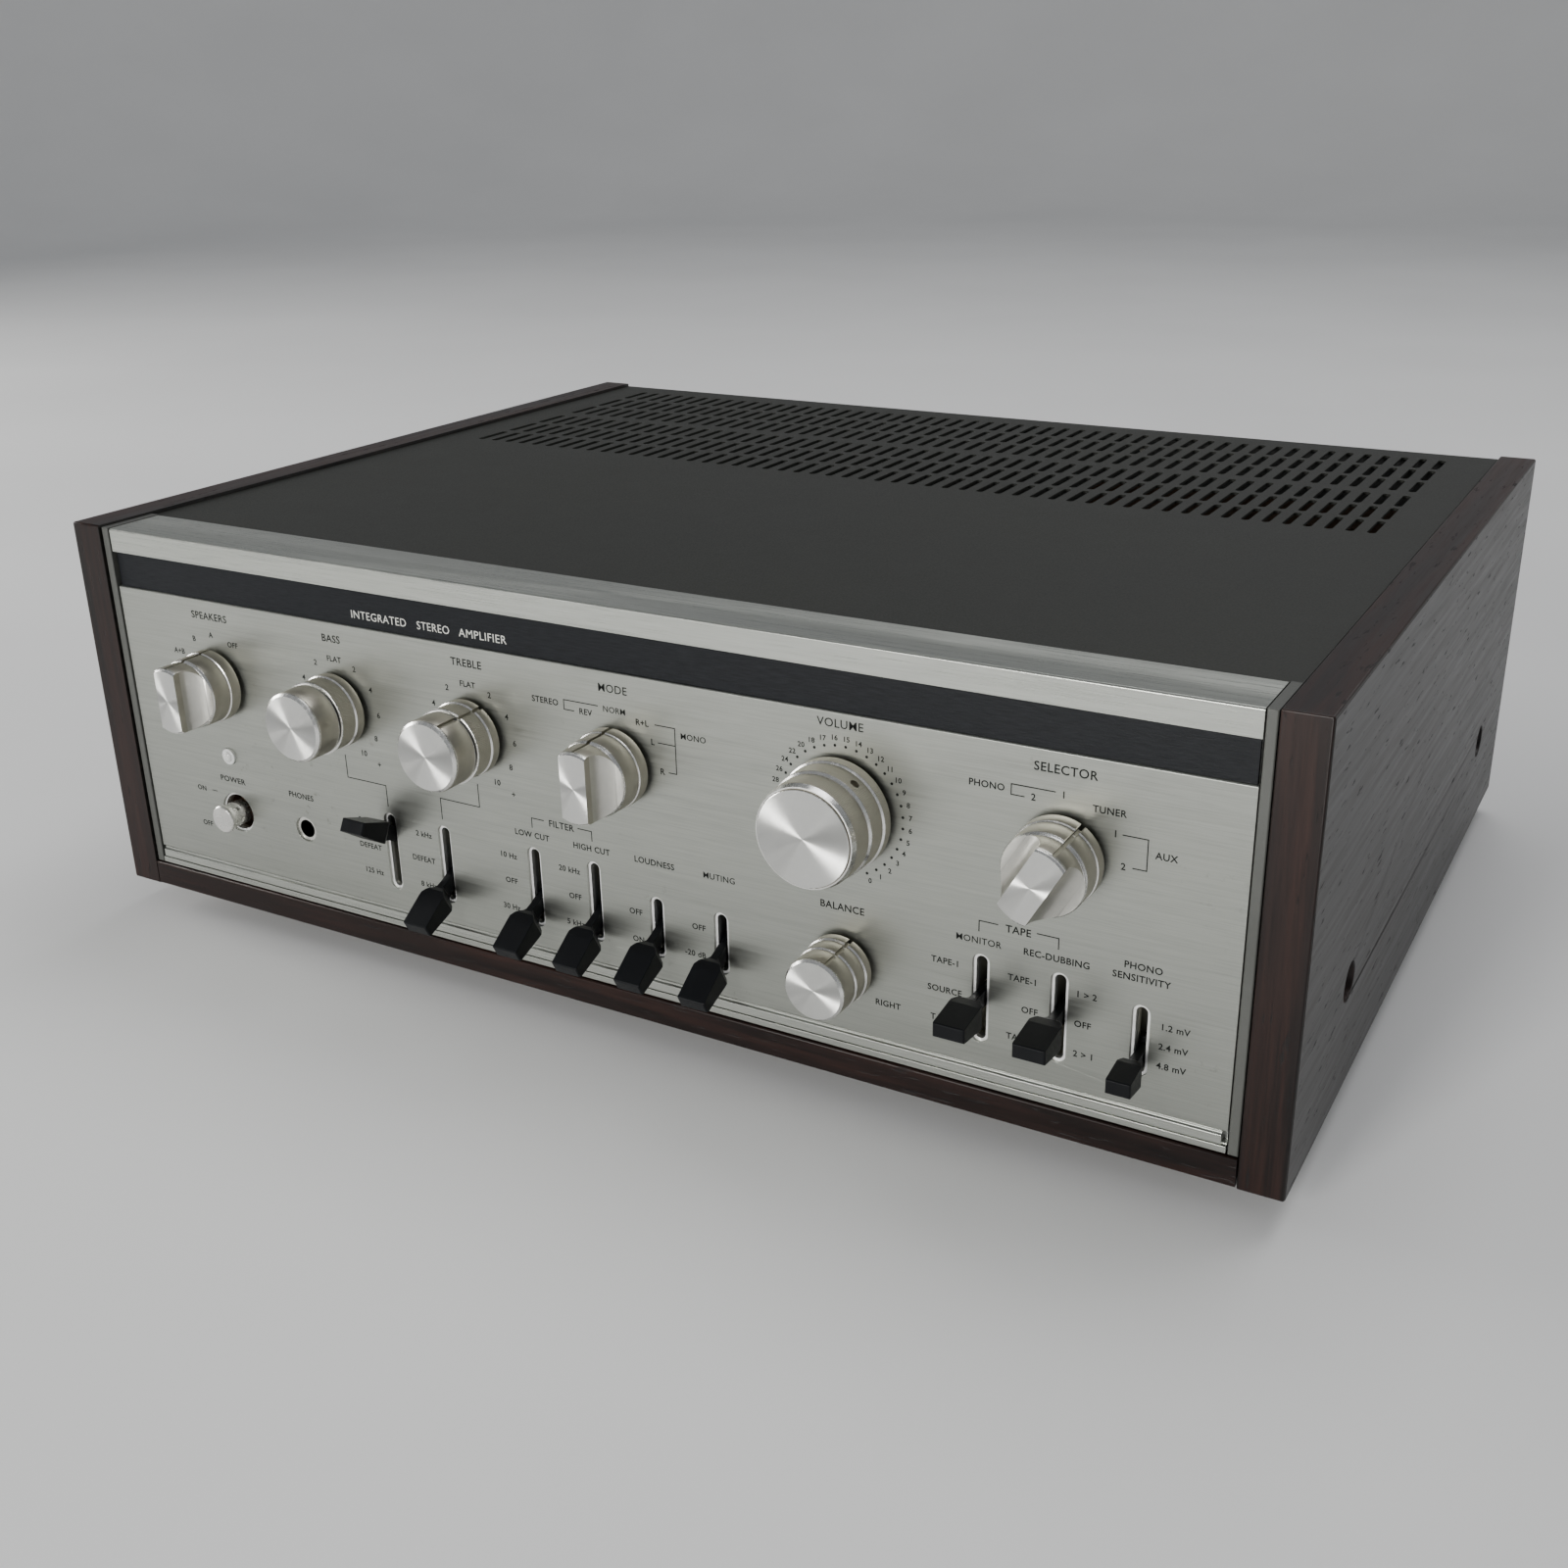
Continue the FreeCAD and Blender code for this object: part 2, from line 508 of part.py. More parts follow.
def power_lever():
    """Short round metal lever with a set-screw hole, on a pin behind the panel."""
    tip, pivot, tip_r, waist_r, neck_r = -6.2, LEVER_PIVOT_Y, 5.1, 4.3, 2.0
    cap = turned(POWER_X, LEVER_Z, [(tip, 0), (tip, tip_r - 0.4), (tip + 0.4, tip_r), (tip + 1.0, tip_r),
                                    (-3.0, 4.6), (4.0, waist_r), (8.0, neck_r), (pivot - 1.5, neck_r),
                                    (pivot - 1.5, 0)])
    screw_r, screw_at, screw_y = 0.6, 2.2, -1.5
    mouth = V(POWER_X + screw_at, screw_y, LEVER_Z + screw_at)
    cap = cap.cut(Part.makeCylinder(screw_r, 4, mouth, V(1, 0, 1)))
    hub = rod_x(pivot, LEVER_Z, 3.0, POWER_X - 2.6, POWER_X + 2.6)
    return cap.fuse(hub).cut(rod_x(pivot, LEVER_Z, PIN_R + RUN, POWER_X - 4, POWER_X + 4))


# ---- switches and potentiometers behind the panel ----
WAFER_R, WAFER_T, WAFER_Y = 15.0, 1.6, (SUB_Y1, 20.0, 32.0)
CAN_R, CAN_DEPTH = 12.0, 9.0


def rotary_switch(x):
    """Wafer switch: round plates on two stays round a plain bearing tube."""
    end = WAFER_Y[-1] + WAFER_T
    plates = [rod_y(x, KNOB_Z, WAFER_R, y, y + WAFER_T) for y in WAFER_Y]
    stays = [rod_y(x + s * (WAFER_R - 2.5), KNOB_Z, 1.5, SUB_Y1, end) for s in (-1, 1)]
    unit = fuse(plates + stays + [rod_y(x, KNOB_Z, BUSH_R, BUSH_Y, SUB_Y1 + 6)])
    return unit.cut(rod_y(x, KNOB_Z, SHAFT_R + RUN, BUSH_Y - 1, end + 1))


def pot(x, z, cans, bore, far_bore):
    """Potentiometer with one or two round cans and solder tags along the bottom."""
    unit = [rod_y(x, z, BUSH_R, BUSH_Y, SUB_Y1 + 1)]
    depth = SUB_Y1
    for _ in range(cans):
        unit.append(rod_y(x, z, CAN_R, depth, depth + CAN_DEPTH))
        unit.append(box(x - 8, x + 8, depth + 2, depth + 3.5, z - CAN_R - 5, z - CAN_R + 2))
        depth += CAN_DEPTH
    tools = [rod_y(x, z, bore, BUSH_Y - 1, SUB_Y1 + CAN_DEPTH),
             rod_y(x, z, far_bore, SUB_Y1 + CAN_DEPTH - 1, depth - 1)]
    return cut(fuse(unit), tools)


def rotary_switches():
    return group([rotary_switch(x) for x in (SPEAKERS_X, MODE_X, SELECTOR_X)])


def potentiometers():
    wide = SHAFT_R + RUN
    units = [pot(x, KNOB_Z, 2, wide, INNER_SHAFT_R + RUN) for x in (BASS_X, TREBLE_X)]
    units.append(pot(VOLUME_X, KNOB_Z, 2, wide, wide))
    units.append(pot(BALANCE_X, LEVER_Z, 1, wide, wide))
    return group(units)


def lever_switch(x):
    half, height, back, hollow = 6.0, 17.0, 32.0, 20.0
    body = box(x - half, x + half, SUB_Y1, back, LEVER_Z - height, LEVER_Z + height)
    cavity = box(x - 1.9, x + 1.9, SUB_Y1 - 1, hollow, LEVER_Z - 14.5, LEVER_Z + 14.5)
    return fuse([body.cut(cavity), rod_x(LEVER_PIVOT_Y, LEVER_Z, PIN_R, x - 3, x + 3)])


def slide_switch():
    """Body with a stem slot and a wider track for the carriage."""
    x, z0, z1 = SLIDE_X, SLIDE_Z, SLIDE_Z + SLIDE_TRAVEL
    body = box(x - 6, x + 6, SUB_Y1, 16, z0 - 8, z1 + 8)
    stem = box(x - 1.7, x + 1.7, SUB_Y1 - 1, 9, z0 - 3.1, z1 + 3.1)
    track = box(x - 3.4, x + 3.4, 7.1, 10.8, z0 - 4.7, z1 + 4.7)
    return cut(body, [stem, track])


def lever_switches():
    xs = [x for x, _ in list(THREE_POS.values()) + list(TWO_POS.values())]
    return group([lever_switch(x) for x in xs] + [slide_switch()])


def power_switch():
    x, half, height, back = POWER_X, 11.0, 14.0, 42.0
    body = box(x - half, x + half, SUB_Y1, back, LEVER_Z - height, LEVER_Z + height)
    cavity = [rod_y(x, LEVER_Z, POWER_IN_R, SUB_Y1 - 1, 9.5),
              box(x - 3, x + 3, 9, 19, LEVER_Z - 6, LEVER_Z + 6)]
    return fuse([cut(body, cavity), rod_x(LEVER_PIVOT_Y, LEVER_Z, PIN_R, x - 5, x + 5)])


# ---- power supply and power amplifier ----
CORE = (-178.0, -92.0, 70.0, 136.0, 8.0, 80.0)   # transformer: x, y and z ranges
COIL_OVER = 16.0                                 # the coil stands this far out of the core
LIMB = (CORE[1] - CORE[0]) / 6
WINDING_GAP = 0.3


def transformer_core():
    x0, x1, y0, y1, z0, z1 = CORE
    front, back, ear, strap = y0 + COIL_OVER, y1 - COIL_OVER, 8.0, 4.0
    stack = box(x0, x1, front, back, z0, z1)
    windows = [box(x0 + LIMB, x0 + 2 * LIMB, y0, y1, z0 + LIMB, z1 - LIMB),
               box(x1 - 2 * LIMB, x1 - LIMB, y0, y1, z0 + LIMB, z1 - LIMB)]
    straps = [box(x0 - ear, x1 + ear, front, front + strap, FLOOR_Z, z0),
              box(x0 - ear, x1 + ear, back - strap, back, FLOOR_Z, z0)]
    return fuse([cut(stack, windows)] + straps)


def transformer_coil():
    x0, x1, y0, y1, z0, z1 = CORE
    inset = LIMB + WINDING_GAP
    wind = box(x0 + inset, x1 - inset, y0, y1, z0 + inset, z1 - inset)
    wind = wind.makeFillet(4.0, [e for e in wind.Edges if e.BoundBox.ZLength > 20])
    return wind.cut(box(x0 + 2 * LIMB, x1 - 2 * LIMB, y0 + COIL_OVER, y1 - COIL_OVER, z0, z1))


def filter_capacitors():
    radius, top, y = 25.0, 92.0, 105.0
    rim, recess = 3.5, 1.4
    cans = []
    for x in (-55.0, 5.0):
        can = rod_z(x, y, radius, FLOOR_Z, top)
        can = can.makeFillet(2.0, [e for e in can.Edges if e.BoundBox.ZMin > top - 1])
        cans.append(can.cut(rod_z(x, y, radius - rim, top - recess, top + 1)))
    return group(cans)


SINKS_X = (-178.0, 20.0)
SINK_LEN, SINK_Y, SINK_T = 150.0, 205.0, 5.0
FINS, FIN_T, FIN_REACH = 16, 2.5, 33.0


def heat_sink(x0):
    """Upright finned extrusion, fins running up so air rises through the cover slots."""
    z0, z1, edge, foot = 14.0, 118.0, 2.0, 12.0
    back = SINK_Y + SINK_T
    pitch = (SINK_LEN - 2 * edge - FIN_T) / (FINS - 1)
    parts = [box(x0, x0 + SINK_LEN, SINK_Y, back, z0, z1)]
    for i in range(FINS):
        fin_x = x0 + edge + i * pitch
        parts.append(box(fin_x, fin_x + FIN_T, back, back + FIN_REACH, z0, z1))
    parts.append(box(x0 + 10, x0 + SINK_LEN - 10, SINK_Y - 4, SINK_Y, FLOOR_Z, z0 + foot))
    return fuse(parts)


def heat_sinks():
    return group([heat_sink(x0) for x0 in SINKS_X])


def output_transistors():
    """Flat two-lead metal can transistors, two on each heat sink."""
    flange_t, can_r, can_h, z, half_w, half_h = 1.5, 10.5, 7.0, 75.0, 19.0, 13.0
    seat = SINK_Y - flange_t
    cans = []
    for x in [x0 + dx for x0 in SINKS_X for dx in (45.0, 105.0)]:
        flange = box(x - half_w, x + half_w, seat, SINK_Y, z - half_h, z + half_h)
        flange = flange.makeFillet(9.0, [e for e in flange.Edges if e.BoundBox.YLength > 1])
        cans.append(fuse([flange, rod_y(x, z, can_r, seat - can_h, seat)]))
    return group(cans)


def board(x0, x1, y0, y1, z, tall_parts):
    """Printed board on four posts; tall_parts are (x, y, radius, height) standing on it."""
    thick, post_in, post_r = 1.6, 6.0, 3.0
    top = z + thick
    pieces = [box(x0, x1, y0, y1, z, top)]
    pieces += [rod_z(x, y, r, top, top + h) for x, y, r, h in tall_parts]
    pieces += [rod_z(x, y, post_r, FLOOR_Z, z) for x in (x0 + post_in, x1 - post_in)
               for y in (y0 + post_in, y1 - post_in)]
    return fuse(pieces)


def circuit_boards():
    power = [(-160 + 22 * i, 165 + 14 * (i % 2), 4.0, 12.0) for i in range(7)]
    tone = [(55 + 18 * i, 75 + 22 * (i % 3), 3.2, 9.0) for i in range(7)]
    phono = [(60 + 20 * i, 285 + 12 * (i % 2), 3.2, 9.0) for i in range(6)]
    return group([board(-178, -8, 145, 190, 14.0, power), board(44, 190, 60, 140, 14.0, tone),
                  board(50, 190, 262, 312, 30.0, phono)])


# ---- rear ----
JACK_COLS = [190.0 - 17.0 * i for i in range(9)]
JACK_ROWS = (104.0, 87.0)
TERM_XS, TERM_Z, TERM_PITCH = (-30.0, -110.0), 95.0, 17.4
TERM_HALF_W, TERM_HALF_H = 35.5, 9.5
TERM_FACE = REAR_Y + 2.5
OUTLETS, OUTLET_Z = (-60.0, -102.0, -144.0), 42.0
GLAND_X, GLAND_Z = -186.0, 34.0
GROUND_X, GROUND_Z = 200.0, 66.0


def rear_panel():
    plate = box(-WALL_X, WALL_X, REAR_IN, REAR_Y, BASE_Z, COVER_TOP - COVER_T - 0.3)
    a, b = REAR_IN - 1, REAR_Y + 1
    tools = [box(JACK_COLS[-1] - 9, JACK_COLS[0] + 9, a, b, JACK_ROWS[1] - 9, JACK_ROWS[0] + 9)]
    tools += [box(x - TERM_HALF_W - 0.5, x + TERM_HALF_W + 0.5, a, b, TERM_Z - TERM_HALF_H - 0.5,
                  TERM_Z + TERM_HALF_H + 0.5) for x in TERM_XS]
    tools += [box(x - 14, x + 14, a, b, OUTLET_Z - 11, OUTLET_Z + 11) for x in OUTLETS]
    tools += [rod_y(x, LIP_Z, SCREW_R, a, b) for x in LIP_SCREWS]
    tools += [rod_y(GROUND_X, GROUND_Z, SCREW_R, a, b), rod_y(GLAND_X, GLAND_Z, 8.0, a, b)]
    return cut(plate, tools)


def jack_plate():
    border, thick, hole_r = 13.0, 1.8, 3.4
    plate = box(JACK_COLS[-1] - border, JACK_COLS[0] + border, REAR_IN - thick, REAR_IN,
                JACK_ROWS[1] - border, JACK_ROWS[0] + border)
    return cut(plate, [rod_y(x, z, hole_r, REAR_Y - 5, REAR_Y) for x in JACK_COLS for z in JACK_ROWS])


def input_jacks():
    """Phono sockets: a hollow threaded barrel with a flange on the jack plate."""
    bore, stem_r, flange_r, flange_t, barrel_r, tail = 1.7, 3.3, 5.6, 1.2, 4.15, 9.0
    profile = [(REAR_IN - tail, bore), (REAR_IN - tail, stem_r), (REAR_IN, stem_r), (REAR_IN, flange_r),
               (REAR_IN + flange_t, flange_r), (REAR_IN + flange_t, barrel_r), (REAR_MOST - 0.4, barrel_r),
               (REAR_MOST, barrel_r - 0.35), (REAR_MOST, bore)]
    return group([turned(x, z, profile) for x in JACK_COLS for z in JACK_ROWS])


def speaker_terminals():
    """Moulded strips with screw posts between raised partitions."""
    wall_t, wall_reach = 1.4, 5.5
    z0, z1 = TERM_Z - TERM_HALF_H, TERM_Z + TERM_HALF_H
    strips = []
    for x in TERM_XS:
        left = x - TERM_HALF_W
        base = box(left, x + TERM_HALF_W, REAR_Y - 6, TERM_FACE, z0, z1)
        walls = [box(wall_x, wall_x + wall_t, TERM_FACE, TERM_FACE + wall_reach, z0, z1)
                 for wall_x in (left + i * TERM_PITCH for i in range(5))]
        strips.append(fuse([base] + walls))
    return group(strips)


def terminal_screws():
    washer_r, washer_t, head_r, head_h, slot_w = 4.6, 1.1, 3.6, 2.6, 1.0
    seat, top = TERM_FACE + washer_t, TERM_FACE + washer_t + head_h
    screws = []
    for x in [strip_x + (i - 1.5) * TERM_PITCH for strip_x in TERM_XS for i in range(4)]:
        head = turned(x, TERM_Z, [(TERM_FACE, 0), (TERM_FACE, washer_r), (seat, washer_r), (seat, head_r),
                                  (top, head_r - 0.2), (top, 0)])
        screws.append(head.cut(box(x - 4, x + 4, top - 1, top + 1, TERM_Z - slot_w / 2, TERM_Z + slot_w / 2)))
    return group(screws)


def ac_outlets():
    """Two-blade mains outlets set into the rear panel."""
    half_w, half_h, face, depth, blade_at, blade_h = 13.6, 10.6, 1.0, 14.0, 6.3, 4.0
    blocks = []
    for x in OUTLETS:
        body = box(x - half_w, x + half_w, REAR_Y - depth, REAR_Y + face,
                   OUTLET_Z - half_h, OUTLET_Z + half_h)
        rim = box(x - 16, x + 16, REAR_Y, REAR_Y + face, OUTLET_Z - 13, OUTLET_Z + 13)
        blades = [box(x + s * blade_at - 1.1, x + s * blade_at + 1.1, REAR_Y - depth + 2, REAR_Y + face + 1,
                      OUTLET_Z - blade_h, OUTLET_Z + blade_h) for s in (-1, 1)]
        blocks.append(cut(fuse([body, rim]), blades))
    return group(blocks)


def cord_gland():
    """Grommet for the mains lead, snapped into the rear panel."""
    bore, lip_r, waist_r, flange_r = 4.0, 9.5, 7.9, 10.5
    tail, nose = REAR_Y - 8, REAR_Y + 4
    return turned(GLAND_X, GLAND_Z, [(tail, bore), (tail, lip_r), (REAR_IN, lip_r), (REAR_IN, waist_r),
                                     (REAR_Y, waist_r), (REAR_Y, flange_r), (nose - 0.8, flange_r - 0.5),
                                     (nose, flange_r - 1.5), (nose, bore)])


def case_screw(x, z, seat):
    head_h, recess, reach = 2.4, 1.2, 2.4
    screw = turned(x, z, [(seat - 5, 0), (seat - 5, SCREW_R), (seat, SCREW_R), (seat, HEAD_R),
                          (seat + 1.6, HEAD_R - 0.3), (seat + head_h, 2.2), (seat + head_h, 0)])
    slots = []
    for turn in (0, 90):
        slot = box(x - reach, x + reach, seat + head_h - recess, seat + 3, z - CROSS_W / 2, z + CROSS_W / 2)
        slot.rotate(V(x, 0, z), V(0, 1, 0), turn)
        slots.append(slot)
    return cut(screw, slots)


def case_screws():
    """Cover screws, the earth screw and the screws up through the feet."""
    screws = [case_screw(x, LIP_Z, COVER_Y1) for x in LIP_SCREWS]
    screws.append(case_screw(GROUND_X, GROUND_Z, REAR_Y))
    seat = -FOOT_H + FOOT_WELL
    for x, y in FEET:
        screws.append(fuse([rod_z(x, y, SCREW_R, seat, BASE_Z + 6), rod_z(x, y, HEAD_R, seat - 2.4, seat)]))
    return group(screws)


# ---- the whole amplifier ----
def case_nodes():
    return {
        "side_panel_left": side_panel(-1), "side_panel_right": side_panel(1), "front_rail": front_rail(),
        "side_screws": side_screws(), "top_cover": top_cover(), "chassis_base": chassis_base(),
        "rear_panel": rear_panel(), "front_subpanel": front_subpanel(), "faceplate": faceplate(),
        "top_extrusion": top_extrusion(), "band_insert": band_insert(), "bottom_trim": bottom_trim(),
        "end_strips": end_strips(), "feet": feet(), "slot_liners": slot_liners(),
        "pilot_lens": pilot_lens(), "phones_jack": phones_jack(), "case_screws": case_screws(),
    }


def inner_nodes():
    return {
        "rotary_switches": rotary_switches(), "potentiometers": potentiometers(),
        "lever_switches": lever_switches(), "power_switch": power_switch(),
        "transformer_core": transformer_core(), "transformer_coil": transformer_coil(),
        "filter_capacitors": filter_capacitors(), "heat_sinks": heat_sinks(),
        "output_transistors": output_transistors(), "circuit_boards": circuit_boards(),
        "jack_plate": jack_plate(), "input_jacks": input_jacks(), "speaker_terminals": speaker_terminals(),
        "terminal_screws": terminal_screws(), "ac_outlets": ac_outlets(), "cord_gland": cord_gland(),
    }


def control_nodes():
    """Knobs and levers at their rest positions, and the shafts that turn with the knobs."""
    nodes = {
        "speakers_knob": wing_knob(SPEAKERS_X, 90), "mode_knob": wing_knob(MODE_X, 90),
        "selector_knob": wing_knob(SELECTOR_X, 60),
        "bass_front_knob": tone_front(BASS_X, 210), "bass_rear_knob": tone_rear(BASS_X, 210),
        "treble_front_knob": tone_front(TREBLE_X, 63), "treble_rear_knob": tone_rear(TREBLE_X, 60),
        "volume_knob": volume_knob(55), "balance_knob": balance_knob(68),
        "power_lever": power_lever(), "sensitivity_slider": slider(),
    }
    for name, x in (("speakers", SPEAKERS_X), ("mode", MODE_X), ("selector", SELECTOR_X)):
        nodes[name + "_shaft"] = shaft(x, KNOB_Z, SHAFT_R, -15, 33)
    for name, x in (("bass", BASS_X), ("treble", TREBLE_X)):
        nodes[name + "_shaft"] = shaft(x, KNOB_Z, INNER_SHAFT_R, -19, 22)
    nodes["volume_shaft"] = shaft(VOLUME_X, KNOB_Z, SHAFT_R, -17, 22)
    nodes["balance_shaft"] = shaft(BALANCE_X, LEVER_Z, SHAFT_R, -13, 13)
    for name, (x, degrees) in list(THREE_POS.items()) + list(TWO_POS.items()):
        nodes[name] = rocker(x, degrees)
    return nodes


for name, shape in {**case_nodes(), **inner_nodes(), **control_nodes()}.items():
    for solid in shape.Solids:
        if not solid.isValid():
            print("invalid", name)
    shape.translate(SHIFT)
    shape.exportStep("parts/" + name + ".step")
    print(name, len(shape.Solids), round(shape.Volume, 1))
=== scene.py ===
"""Looks of the integrated amplifier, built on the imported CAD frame. Metres, row frame."""

import math

import bmesh
import bpy
from mathutils import Matrix, Vector


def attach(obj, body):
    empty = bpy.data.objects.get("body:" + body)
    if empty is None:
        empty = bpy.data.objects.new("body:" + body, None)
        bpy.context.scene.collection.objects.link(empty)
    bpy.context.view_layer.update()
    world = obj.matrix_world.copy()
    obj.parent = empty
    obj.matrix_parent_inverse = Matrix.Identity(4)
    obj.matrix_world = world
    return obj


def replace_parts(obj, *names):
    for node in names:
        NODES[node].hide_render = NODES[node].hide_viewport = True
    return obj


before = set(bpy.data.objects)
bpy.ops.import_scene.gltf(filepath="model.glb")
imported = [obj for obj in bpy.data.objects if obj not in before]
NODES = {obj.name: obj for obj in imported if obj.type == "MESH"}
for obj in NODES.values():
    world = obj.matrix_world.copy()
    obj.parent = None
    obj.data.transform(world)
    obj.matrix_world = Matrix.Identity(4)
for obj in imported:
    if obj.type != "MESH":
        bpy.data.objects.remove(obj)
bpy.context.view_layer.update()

MM = 0.001
SHIFT_Y, SHIFT_Z = -158.15, 10.0     # row frame = front frame moved by this, in mm
PANEL_Y = 1.5                        # faceplate front
KNOB_Z, LEVER_Z = 89.0, 38.7
SPEAKERS_X, BASS_X, TREBLE_X, MODE_X = -163.5, -106.0, -48.5, 9.0
VOLUME_X, SELECTOR_X, BALANCE_X = 87.8, 156.0, 88.0
PHONES_X, PHONES_BORE = -130.0, 3.3
BASS_LEVER_X, TREBLE_LEVER_X = -89.0, -65.0
REAR_Y = 328.8                       # outer face of the rear panel
KNOB_TEETH = 130                     # knurl teeth round a tone or wing knob
CREASE = 24.0                        # degrees above which a knob edge stays crisp


def at(x, y, z):
    """Front-frame millimetres to row-frame metres."""
    return Vector((x * MM, (y + SHIFT_Y) * MM, (z + SHIFT_Z) * MM))


# ---------------------------------------------------------------- materials
class Shader:
    """A small helper around one node material."""

    def __init__(self, name):
        self.mat = bpy.data.materials.new(name)
        self.mat.use_nodes = True
        self.tree = self.mat.node_tree
        self.bsdf = self.tree.nodes["Principled BSDF"]
        self.coords = self.add("ShaderNodeTexCoord")

    def add(self, kind, **values):
        node = self.tree.nodes.new(kind)
        for key, value in values.items():
            setattr(node, key, value)
        return node

    def link(self, a, b):
        self.tree.links.new(a, b)

    def set(self, **values):
        for key, value in values.items():
            self.bsdf.inputs[key.replace("_", " ")].default_value = value

    def noise(self, scale, detail=4.0, rough=0.6, stretch=(1, 1, 1), distortion=0.0):
        """Noise in object space; stretch below 1 draws it out along that axis."""
        mapping = self.add("ShaderNodeMapping")
        mapping.inputs["Scale"].default_value = stretch
        self.link(self.coords.outputs["Object"], mapping.inputs["Vector"])
        node = self.add("ShaderNodeTexNoise")
        node.inputs["Scale"].default_value = scale
        node.inputs["Detail"].default_value = detail
        node.inputs["Roughness"].default_value = rough
        node.inputs["Distortion"].default_value = distortion
        self.link(mapping.outputs["Vector"], node.inputs["Vector"])
        return node.outputs["Fac"]

    def ramp(self, source, stops):
        node = self.add("ShaderNodeValToRGB")
        elements = node.color_ramp.elements
        while len(elements) < len(stops):
            elements.new(0.5)
        for element, (place, colour) in zip(elements, stops):
            element.position = place
            element.color = (*colour, 1.0)
        self.link(source, node.inputs["Fac"])
        return node.outputs["Color"]

    def span(self, source, lo, hi, from_lo=0.3, from_hi=0.7):
        node = self.add("ShaderNodeMapRange")
        node.inputs["From Min"].default_value = from_lo
        node.inputs["From Max"].default_value = from_hi
        node.inputs["To Min"].default_value = lo
        node.inputs["To Max"].default_value = hi
        self.link(source, node.inputs["Value"])
        return node.outputs["Result"]

    def blend(self, factor, a, b, mode="MIX"):
        node = self.add("ShaderNodeMix", data_type="RGBA", blend_type=mode)
        for socket, value in ((node.inputs[0], factor), (node.inputs[6], a), (node.inputs[7], b)):
            if isinstance(value, (int, float)):
                socket.default_value = value
            elif isinstance(value, tuple):
                socket.default_value = (*value, 1.0)
            else:
                self.link(value, socket)
        return node.outputs[2]

    def math(self, operation, a, b=0.0):
        node = self.add("ShaderNodeMath", operation=operation)
        for socket, value in ((node.inputs[0], a), (node.inputs[1], b)):
            if isinstance(value, (int, float)):
                socket.default_value = value
            else:
                self.link(value, socket)
        return node.outputs[0]

    def bump(self, height, strength, distance_mm):
        node = self.add("ShaderNodeBump")
        node.inputs["Strength"].default_value = strength
        node.inputs["Distance"].default_value = distance_mm * MM
        self.link(height, node.inputs["Height"])
        return node.outputs["Normal"]

    def done(self, colour, roughness, normal=None):
        self.link(colour, self.bsdf.inputs["Base Color"])
        self.link(roughness, self.bsdf.inputs["Roughness"])
        if normal is not None:
            self.link(normal, self.bsdf.inputs["Normal"])
        return self.mat


def scaled(colour, factor):
    return tuple(min(1.0, c * factor) for c in colour)


def brushed(name, colour, rough, along="x", anisotropy=0.6, depth=0.35, dirt=0.0):
    """Brushed aluminium: fine scratches drawn out along one row axis."""
    s = Shader(name)
    s.set(Metallic=1.0, Anisotropic=anisotropy)
    stretch = {"x": (0.012, 1, 1), "y": (1, 0.012, 1), "z": (1, 1, 0.012)}[along]
    fine = s.noise(5200, 2.0, 0.6, stretch)
    broad = s.noise(900, 3.0, 0.55, stretch)
    cloud = s.noise(14, 3.0, 0.5)
    lines = s.math("ADD", s.math("MULTIPLY", fine, 0.65), s.math("MULTIPLY", broad, 0.35))
    tint = s.ramp(lines, [(0.30, scaled(colour, 0.84)), (0.5, colour), (0.72, scaled(colour, 1.12))])
    tint = s.blend(s.span(cloud, 0.0, 0.16), tint, scaled(colour, 0.80))
    if dirt:
        specks = s.noise(230, 5.0, 0.7)
        patches = s.noise(22, 2.0, 0.5)
        mask = s.math("MULTIPLY", s.span(specks, 0, 1, 0.60, 0.68), s.span(patches, 0, dirt, 0.55, 0.7))
        tint = s.blend(mask, tint, (0.16, 0.15, 0.12))
    roughness = s.math("ADD", s.span(lines, rough - 0.07, rough + 0.07), s.span(cloud, -0.02, 0.03))
    return s.done(tint, roughness, s.bump(lines, depth, 0.02))


def spun(name, colour, rough=0.34):
    """Lathe-turned face: concentric tool marks that splay the highlights out from the centre, with painted
    highlight and shade wedges by angle round the centre.
    """
    s = Shader(name)
    s.set(Metallic=1.0, Anisotropic=1.0)
    tangent = s.add("ShaderNodeTangent", direction_type="RADIAL", axis="Y")
    s.link(tangent.outputs["Tangent"], s.bsdf.inputs["Tangent"])
    centre = s.add("ShaderNodeSeparateXYZ")
    s.link(s.coords.outputs["Object"], centre.inputs["Vector"])
    x, z = centre.outputs["X"], centre.outputs["Z"]
    radius = s.math("SQRT", s.math("ADD", s.math("MULTIPLY", x, x), s.math("MULTIPLY", z, z)))
    rings = s.math("SINE", s.math("MULTIPLY", radius, 2 * math.pi / (0.32 * MM)))
    grain = s.noise(260, 3.0, 0.6)
    marks = s.math("ADD", s.math("MULTIPLY", rings, 0.25), grain)
    # Painted highlight and shade: lighter and darker wedges by angle round the centre, standing in for
    # wedge-shaped reflections on the spun face.
    turn = s.math("ARCTAN2", z, x)
    wide = s.math("SINE", s.math("ADD", s.math("MULTIPLY", turn, 2.0), 0.9))
    narrow = s.math("SINE", s.math("ADD", s.math("MULTIPLY", turn, 5.0), 0.4))
    painted_fan_highlight_shade = s.math("ADD", s.math("MULTIPLY", wide, 0.65), s.math("MULTIPLY", narrow, 0.35))
    tint = s.ramp(marks, [(0.2, scaled(colour, 0.92)), (0.8, scaled(colour, 1.05))])
    tint = s.blend(s.span(painted_fan_highlight_shade, 0.0, 0.75, 0.0, 1.0), tint, scaled(colour, 0.62))
    return s.done(tint, s.span(grain, rough - 0.04, rough + 0.05), s.bump(marks, 0.12, 0.01))


